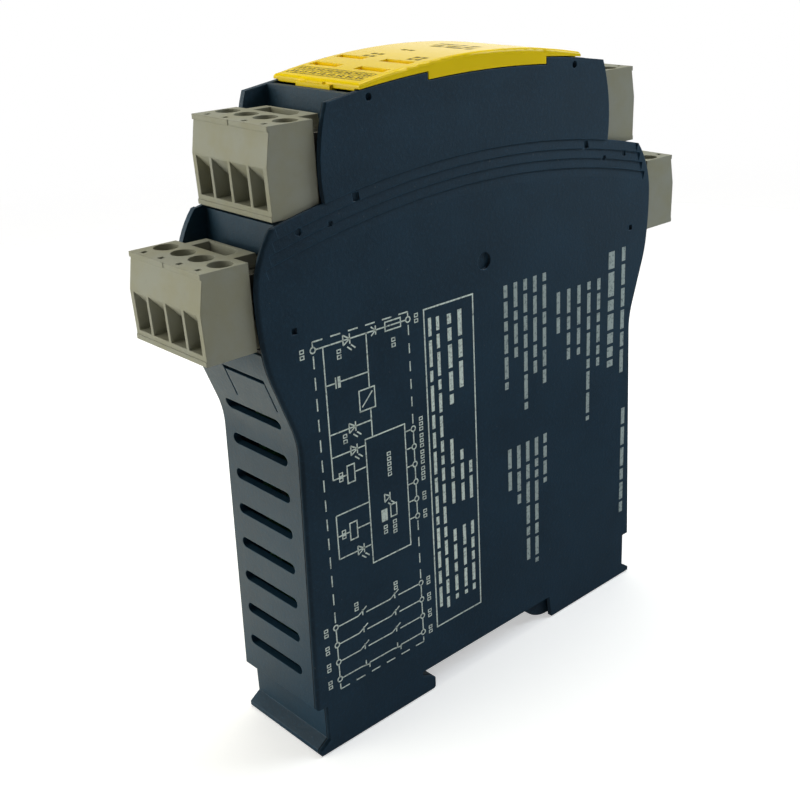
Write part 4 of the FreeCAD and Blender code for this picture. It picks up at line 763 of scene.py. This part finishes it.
def draw_columns(ink):
    """Plain bars beside the long box: three blocks, and three columns near the far edge. A block
    has its first column's X, the pitch, the top, the first seed and the foot of each column."""
    blocks = (
        (5.4, 2.7, 78.2, 30, (57.3, 63.2, 51.5, 58.4, 55.5)),
        (5.9, 2.6, 44.4, 40, (35.3, 30.6, 17.3, 15.7, 33.4)),
        (20.3, 3.1, 73.3, 50, (64.8, 57.6, 58.6, 43.0, 54.4)),
    )
    for left, pitch, top, seed, feet in blocks:
        for index, foot in enumerate(feet):
            ink.bars(left + pitch * index, top, foot, 1.0, seed + index)
    ink.bars(36.7, 78.0, 53.0, 1.9, 63)
    ink.bars(40.6, 78.2, 50.5, 1.15, 61)
    ink.bars(41.6, 42.0, 16.5, 1.15, 62)


# The cap: half the length of its arched top and the fall of the arch, then the places of its
# print in millimetres, X first, then Y
ARCH_HALF, ARCH_FALL = 26.4 * MM, 2.51 * MM
STRIP_LEFT, STRIP_RIGHT, STRIP_END, STRIP_CELLS = -24.9, -21.4, 9.6, 8
STRIP_SIGNS, STRIP_SIGN_HALF = (-24.0, -22.3), 0.45
WINDOW_SIGNS = ((-11.9, 3.4), (-10.0, 3.4), (-11.4, -7.4), (-9.9, -7.4), (-4.9, 1.4))
WINDOW_SIGN_HALF = 0.5
MIDDLE_ROWS = (1.4, 3.2, 5.6)


def cap_height(x):
    """Height of the cap's arched top over x: crown − radius + √(radius² − x²), where the radius
    is (half² + fall²) / (2 · fall)."""
    radius = (ARCH_HALF ** 2 + ARCH_FALL ** 2) / (2 * ARCH_FALL)
    return HIGH.z - radius + np.sqrt(radius ** 2 - np.minimum(np.abs(x), ARCH_HALF) ** 2)


def draw_cap_strip(ink):
    """The gridded strip at the end of the cap, with two small fields to a sign."""
    ink.box(STRIP_LEFT, -STRIP_END, STRIP_RIGHT, STRIP_END)
    cell = 2 * STRIP_END / STRIP_CELLS
    for index in range(1, STRIP_CELLS):
        ink.line(STRIP_LEFT, index * cell - STRIP_END, STRIP_RIGHT, index * cell - STRIP_END)
    middle_line = (STRIP_LEFT + STRIP_RIGHT) / 2
    ink.line(middle_line, -STRIP_END, middle_line, STRIP_END)
    for index in range(STRIP_CELLS):
        middle = (index + 0.5) * cell - STRIP_END
        for x in STRIP_SIGNS:
            left, right = x - STRIP_SIGN_HALF, x + STRIP_SIGN_HALF
            ink.field(left, middle - 0.75, right, middle - 0.15)
            ink.field(left, middle + 0.2, right, middle + 0.75)


def draw_cap_signs(ink):
    """The signs beside the cap's windows, and three rows of bars in its middle."""
    for x, y in WINDOW_SIGNS:
        left, right = x - WINDOW_SIGN_HALF, x + WINDOW_SIGN_HALF
        ink.field(left, y - 1.6, right, y - 0.3)
        ink.field(left, y + 0.2, right, y + 1.4)
    for index, x in enumerate(MIDDLE_ROWS):
        ink.bars(x, 2.2 + index, -8.0 + index, 0.9, 70 + index)


class RELAY_OT_housing(bpy.types.Operator):
    """Finishes the housing, its cover and the rail latch"""

    bl_idname = "relay.housing"
    bl_label = "Housing and latch"

    def execute(self, context):
        colours, sizes = context.scene.relay_colours, context.scene.relay_sizes
        tone = tuple(colours.housing)
        housing = slate_plastic("housing_slate", tone, sizes.grain, sizes.edge)
        cover = slate_plastic("cover_slate", tone, sizes.grain, sizes.edge, sizes.rim_round)
        latch = slate_plastic("latch_slate", shade(tone, 0.7), sizes.grain, sizes.edge)
        dress(housing, "housing_shell")
        dress(cover, "side_cover")
        dress(latch, "rail_latch")
        return {"FINISHED"}


class RELAY_OT_latch_spring(bpy.types.Operator):
    """Winds the spring behind the rail latch as a fixed coil on the module, which does not shorten as
    the latch is pulled
    """

    bl_idname = "relay.latch_spring"
    bl_label = "Latch spring"

    def execute(self, context):
        colours, sizes = context.scene.relay_colours, context.scene.relay_sizes
        low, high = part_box("latch_spring")
        points, faces = coil(low, high, sizes.spring_wire / 2, SPRING_TURNS)
        metal = plated_metal("spring_wire", tuple(colours.zinc), sizes.sharp_edge, rough=0.30)
        spring = new_mesh("spring_coil", points, faces, metal, "module")
        spring.data.shade_smooth()
        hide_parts("latch_spring")
        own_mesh(spring)
        return {"FINISHED"}


class RELAY_OT_cover_print(bpy.types.Operator):
    """Draws the near cover's print: a plain scheme in a dashed frame, a long box, and bars"""

    bl_idname = "relay.cover_print"
    bl_label = "Cover print"

    def execute(self, context):
        colours, sizes = context.scene.relay_colours, context.scene.relay_sizes
        cover = tuple(colours.housing)
        lines = Print(sizes.stroke)
        draw_frame(lines)
        draw_supply(lines)
        draw_logic(lines)
        draw_switches(lines)
        lines.box(BOX_LEFT, BOX_FOOT, BOX_RIGHT, BOX_TOP, sizes.box_stroke)
        draw_box_rows(lines)
        bars = Print(sizes.stroke)
        draw_columns(bars)
        for name, ink, tone in (("cover_lines", lines, colours.print_light),
                                ("cover_bars", bars, colours.print_field)):
            flat, faces = ink.arrays()
            points = np.stack([flat[:, 0], np.full(len(flat), NEAR_FACE - sizes.lift), flat[:, 1]], 1)
            faces = facing_out(points, faces, (0.0, -1.0, 0.0))
            new_mesh(name, points, faces, print_ink(f"{name}_ink", tuple(tone), cover),
                     "module")
        return {"FINISHED"}


class RELAY_OT_cap(bpy.types.Operator):
    """Finishes the yellow front cap and draws its dark print"""

    bl_idname = "relay.cap"
    bl_label = "Front cap"

    def execute(self, context):
        colours, sizes = context.scene.relay_colours, context.scene.relay_sizes
        tone = tuple(colours.cap)
        dress(cap_plastic("cap_yellow", tone, sizes.edge), "front_cap")
        ink = Print(sizes.cap_stroke)
        draw_cap_strip(ink)
        draw_cap_signs(ink)
        flat, faces = ink.arrays()
        height = cap_height(flat[:, 0]) + sizes.lift
        points = np.stack([flat[:, 0], flat[:, 1], height], 1)
        faces = facing_out(points, faces, (0.0, 0.0, 1.0))
        dark = print_ink("cap_ink", tuple(colours.print_dark), tone)
        new_mesh("cap_print", points, faces, dark, "cap")
        return {"FINISHED"}


class RELAY_OT_plugs(bpy.types.Operator):
    """Finishes the four terminal plugs with their screws, cages and contacts"""

    bl_idname = "relay.plugs"
    bl_label = "Terminal plugs"

    def execute(self, context):
        colours, sizes = context.scene.relay_colours, context.scene.relay_sizes
        grey = plug_plastic("plug_grey", tuple(colours.plug), sizes.edge)
        zinc = plated_metal("screw_zinc", tuple(colours.zinc), sizes.sharp_edge, rough=0.30)
        tin = plated_metal("contact_tin", tuple(colours.tin), sizes.sharp_edge, rough=0.26)
        black = black_plastic("header_black", tuple(colours.header), sizes.edge)
        for corner in CORNERS:
            dress(grey, f"plug_{corner}")
            dress(tin, f"contacts_{corner}")
            dress(black, f"header_{corner}")
        dress(tin, "header_pins_upper", "header_pins_lower")
        for kind in ("screw", "cage"):
            dress(zinc, *[name for name in NODES if name.startswith(f"{kind}_")])
        return {"FINISHED"}


class RELAY_OT_boards(bpy.types.Operator):
    """Finishes the boards and the parts that stand on them"""

    bl_idname = "relay.boards"
    bl_label = "Boards and their parts"

    def execute(self, context):
        colours, sizes = context.scene.relay_colours, context.scene.relay_sizes
        dress(board_lacquer("board_green", tuple(colours.board), sizes.sharp_edge),
              "main_board", "front_board")
        dress(plug_plastic("relay_case", tuple(colours.relay), sizes.edge), "relay_left", "relay_right")
        dress(drawn_can("capacitor_can", sizes.can_edge), "smoothing_capacitor")
        dress(clear_resin("light_resin"), "status_lights")
        dress(black_plastic("chip_black", tuple(colours.header), sizes.sharp_edge),
              "logic_chip", "switch_case")
        dress(plug_plastic("slider_white", tuple(colours.slider), sizes.sharp_edge), "switch_slider")
        return {"FINISHED"}


class RELAY_OT_stage(bpy.types.Operator):
    """Sets the pale floor, the soft lamps and the photograph's camera"""

    bl_idname = "relay.stage"
    bl_label = "Stage"

    def execute(self, context):
        scene = context.scene
        lay_floor(tuple(scene.relay_colours.floor), glow=0.48)
        light_world(scene, ambient=0.13)
        for name, offset, size, power, tint in LAMPS:
            hang_lamp(name, Vector(offset), size, power, tint)
        set_camera(scene)
        scene.view_settings.view_transform = "Standard"
        return {"FINISHED"}


# Lamps: name, place from the module's middle, width, power in watts and tint
LAMPS = (
    ("side_softbox", (-0.42, 0.22, 0.10), 0.45, 1.65, (1.0, 0.99, 0.88)),
    ("top_softbox", (0.08, 0.12, 0.55), 0.50, 2.2, (1.0, 0.98, 0.88)),
    ("front_fill", (0.26, -0.16, 0.22), 0.22, 0.62, (0.86, 0.94, 1.0)),
)
FLOOR_RADIUS, FLOOR_SIDES, FLOOR_DROP = 1.2, 96, 0.3 * MM


def light_paths(paint):
    """1 for camera rays, and 1 for rays that a mirror-like or a clear surface sends on."""
    path = paint.node("ShaderNodeLightPath").socket.node
    camera, glossy, clear = (Wire(paint, path.outputs[name]) for name in
                             ("Is Camera Ray", "Is Glossy Ray", "Is Transmission Ray"))
    return camera, glossy.larger(clear)


def lay_floor(tone, glow):
    """A round floor just under the module: a fan of triangles from its middle to a ring of
    points at the floor's radius. What the camera sees of it glows a little, so that it meets the
    white beyond without an edge and still holds the shadow. Shiny surfaces see it bright close
    behind the module, pale blue far out at the latch's end, and dark elsewhere, as the room is."""
    turn = np.linspace(0, 2 * np.pi, FLOOR_SIDES + 1)[:-1]
    rim = np.stack([np.cos(turn), np.sin(turn), np.zeros_like(turn)], 1) * FLOOR_RADIUS
    points = np.concatenate([[[0.0, 0.0, 0.0]], rim]) - [0.0, 0.0, FLOOR_DROP]
    first = np.arange(1, FLOOR_SIDES + 1)
    faces = np.stack([np.zeros_like(first), first, np.roll(first, -1)], 1)
    paint = Paint("floor_pale")
    x, y = paint.axes()[:2]
    distance = (x * x + y * y).power(0.5)
    far = distance.step(0.12, 0.55)
    lit = y.step(-0.005, 0.05) * (1.0 - distance.step(0.17, 0.26))
    dark = paint.mix(distance.step(0.05, 0.20), (0.14, 0.17, 0.20), (0.0, 0.01, 0.02))
    unlit = paint.mix(x.step(0.13, 0.25), dark, (0.55, 0.70, 0.80))
    reflected = paint.mix(lit, unlit, (1.85, 1.75, 1.40))
    camera, mirrored = light_paths(paint)
    grain = paint.noise(20 * MM, 2.0)
    pale = paint.mix(grain, shade(tone, 0.98), tone)
    glowing = paint.mix(camera, (0.0, 0.0, 0.0), (glow, glow, glow))
    paint.finish(
        Base_Color=paint.mix(mirrored, pale, (0.0, 0.0, 0.0)),
        Roughness=0.9,
        Specular_IOR_Level=0.0,
        Emission_Color=paint.mix(mirrored, glowing, reflected),
        Emission_Strength=1.0,
        Alpha=1.0 - camera * far,
    )
    mesh = bpy.data.meshes.new("floor")
    mesh.from_pydata(points.tolist(), [], faces.tolist())
    mesh.update()
    mesh.materials.append(paint.material)
    floor = bpy.data.objects.new("floor", mesh)
    bpy.context.scene.collection.objects.link(floor)


def light_world(scene, ambient):
    """White behind the object for the camera. Shiny surfaces see the studio's white wall low at
    the back, and the dark ceiling and the dark side of the room in front. The rest gets a soft
    even light."""
    world = bpy.data.worlds.new("studio")
    world.use_nodes = True
    scene.world = world
    paint = Paint("studio", world.node_tree)
    y, z = paint.axes()[1:]
    camera, mirrored = light_paths(paint)
    wall = (y.step(-0.35, 0.35) * 1.15 + 0.03) * (1.0 - z.step(0.08, 0.42) * 0.97)
    level = camera + (1.0 - camera) * (mirrored * wall + (1.0 - mirrored) * ambient)
    light = world.node_tree.nodes["Background"]
    paint.link((1.0, 1.0, 1.0), light.inputs["Color"])
    paint.link(level, light.inputs["Strength"])


def hang_lamp(name, offset, size, power, tint):
    """A round soft lamp at an offset from the module's middle, turned towards it."""
    data = bpy.data.lights.new(name, "AREA")
    data.color = tint
    data.shape = "DISK"
    data.size = size
    data.energy = power
    item = bpy.data.objects.new(name, data)
    item.location = (LOW + HIGH) / 2 + offset
    item.rotation_mode = "QUATERNION"
    item.rotation_quaternion = offset.to_track_quat("Z", "Y")
    bpy.context.scene.collection.objects.link(item)


def set_camera(scene):
    """The camera's back axis is (sin a·cos e, −cos a·cos e, sin e), and roll turns the camera
    about that axis."""
    view = scene.relay_camera
    back = Vector((math.sin(view.azimuth) * math.cos(view.elevation),
                   -math.cos(view.azimuth) * math.cos(view.elevation),
                   math.sin(view.elevation)))
    level = Vector((math.cos(view.azimuth), math.sin(view.azimuth), 0.0))
    upright = back.cross(level)
    right = level * math.cos(view.roll) + upright * math.sin(view.roll)
    up = upright * math.cos(view.roll) - level * math.sin(view.roll)
    turn = Matrix((right, up, back)).transposed()
    data = bpy.data.cameras.new("photo_camera")
    data.lens = view.lens
    data.shift_x = view.shift_x
    data.shift_y = view.shift_y
    data.clip_start = 0.01
    camera = bpy.data.objects.new("photo_camera", data)
    camera.matrix_world = Matrix.Translation(view.place) @ turn.to_4x4()
    scene.collection.objects.link(camera)
    scene.camera = camera


STEPS = (RELAY_OT_housing, RELAY_OT_latch_spring, RELAY_OT_cover_print, RELAY_OT_cap, RELAY_OT_plugs,
         RELAY_OT_boards, RELAY_OT_stage)


class RELAY_PT_module(bpy.types.Panel):
    """Lists the module's sizes, colours and pieces"""

    bl_idname = "RELAY_PT_module"
    bl_label = "Safety relay module"
    bl_space_type = "VIEW_3D"
    bl_region_type = "UI"
    bl_category = "Relay module"

    def draw(self, context):
        scene = context.scene
        for group in (scene.relay_colours, scene.relay_sizes, scene.relay_camera):
            box = self.layout.box()
            for name in group.__annotations__:
                box.prop(group, name)
        for step in STEPS:
            self.layout.operator(step.bl_idname)


CLASSES = (RelayColours, RelaySizes, RelayCamera, *STEPS, RELAY_PT_module)


def register():
    for item in CLASSES:
        bpy.utils.register_class(item)
    bpy.types.Scene.relay_colours = PointerProperty(type=RelayColours)
    bpy.types.Scene.relay_sizes = PointerProperty(type=RelaySizes)
    bpy.types.Scene.relay_camera = PointerProperty(type=RelayCamera)


def unregister():
    del bpy.types.Scene.relay_camera
    del bpy.types.Scene.relay_sizes
    del bpy.types.Scene.relay_colours
    for item in reversed(CLASSES):
        bpy.utils.unregister_class(item)


def main():
    register()
    bpy.ops.relay.housing()
    bpy.ops.relay.latch_spring()
    bpy.ops.relay.cover_print()
    bpy.ops.relay.cap()
    bpy.ops.relay.plugs()
    bpy.ops.relay.boards()
    bpy.ops.relay.stage()


if __name__ == "__main__":
    main()
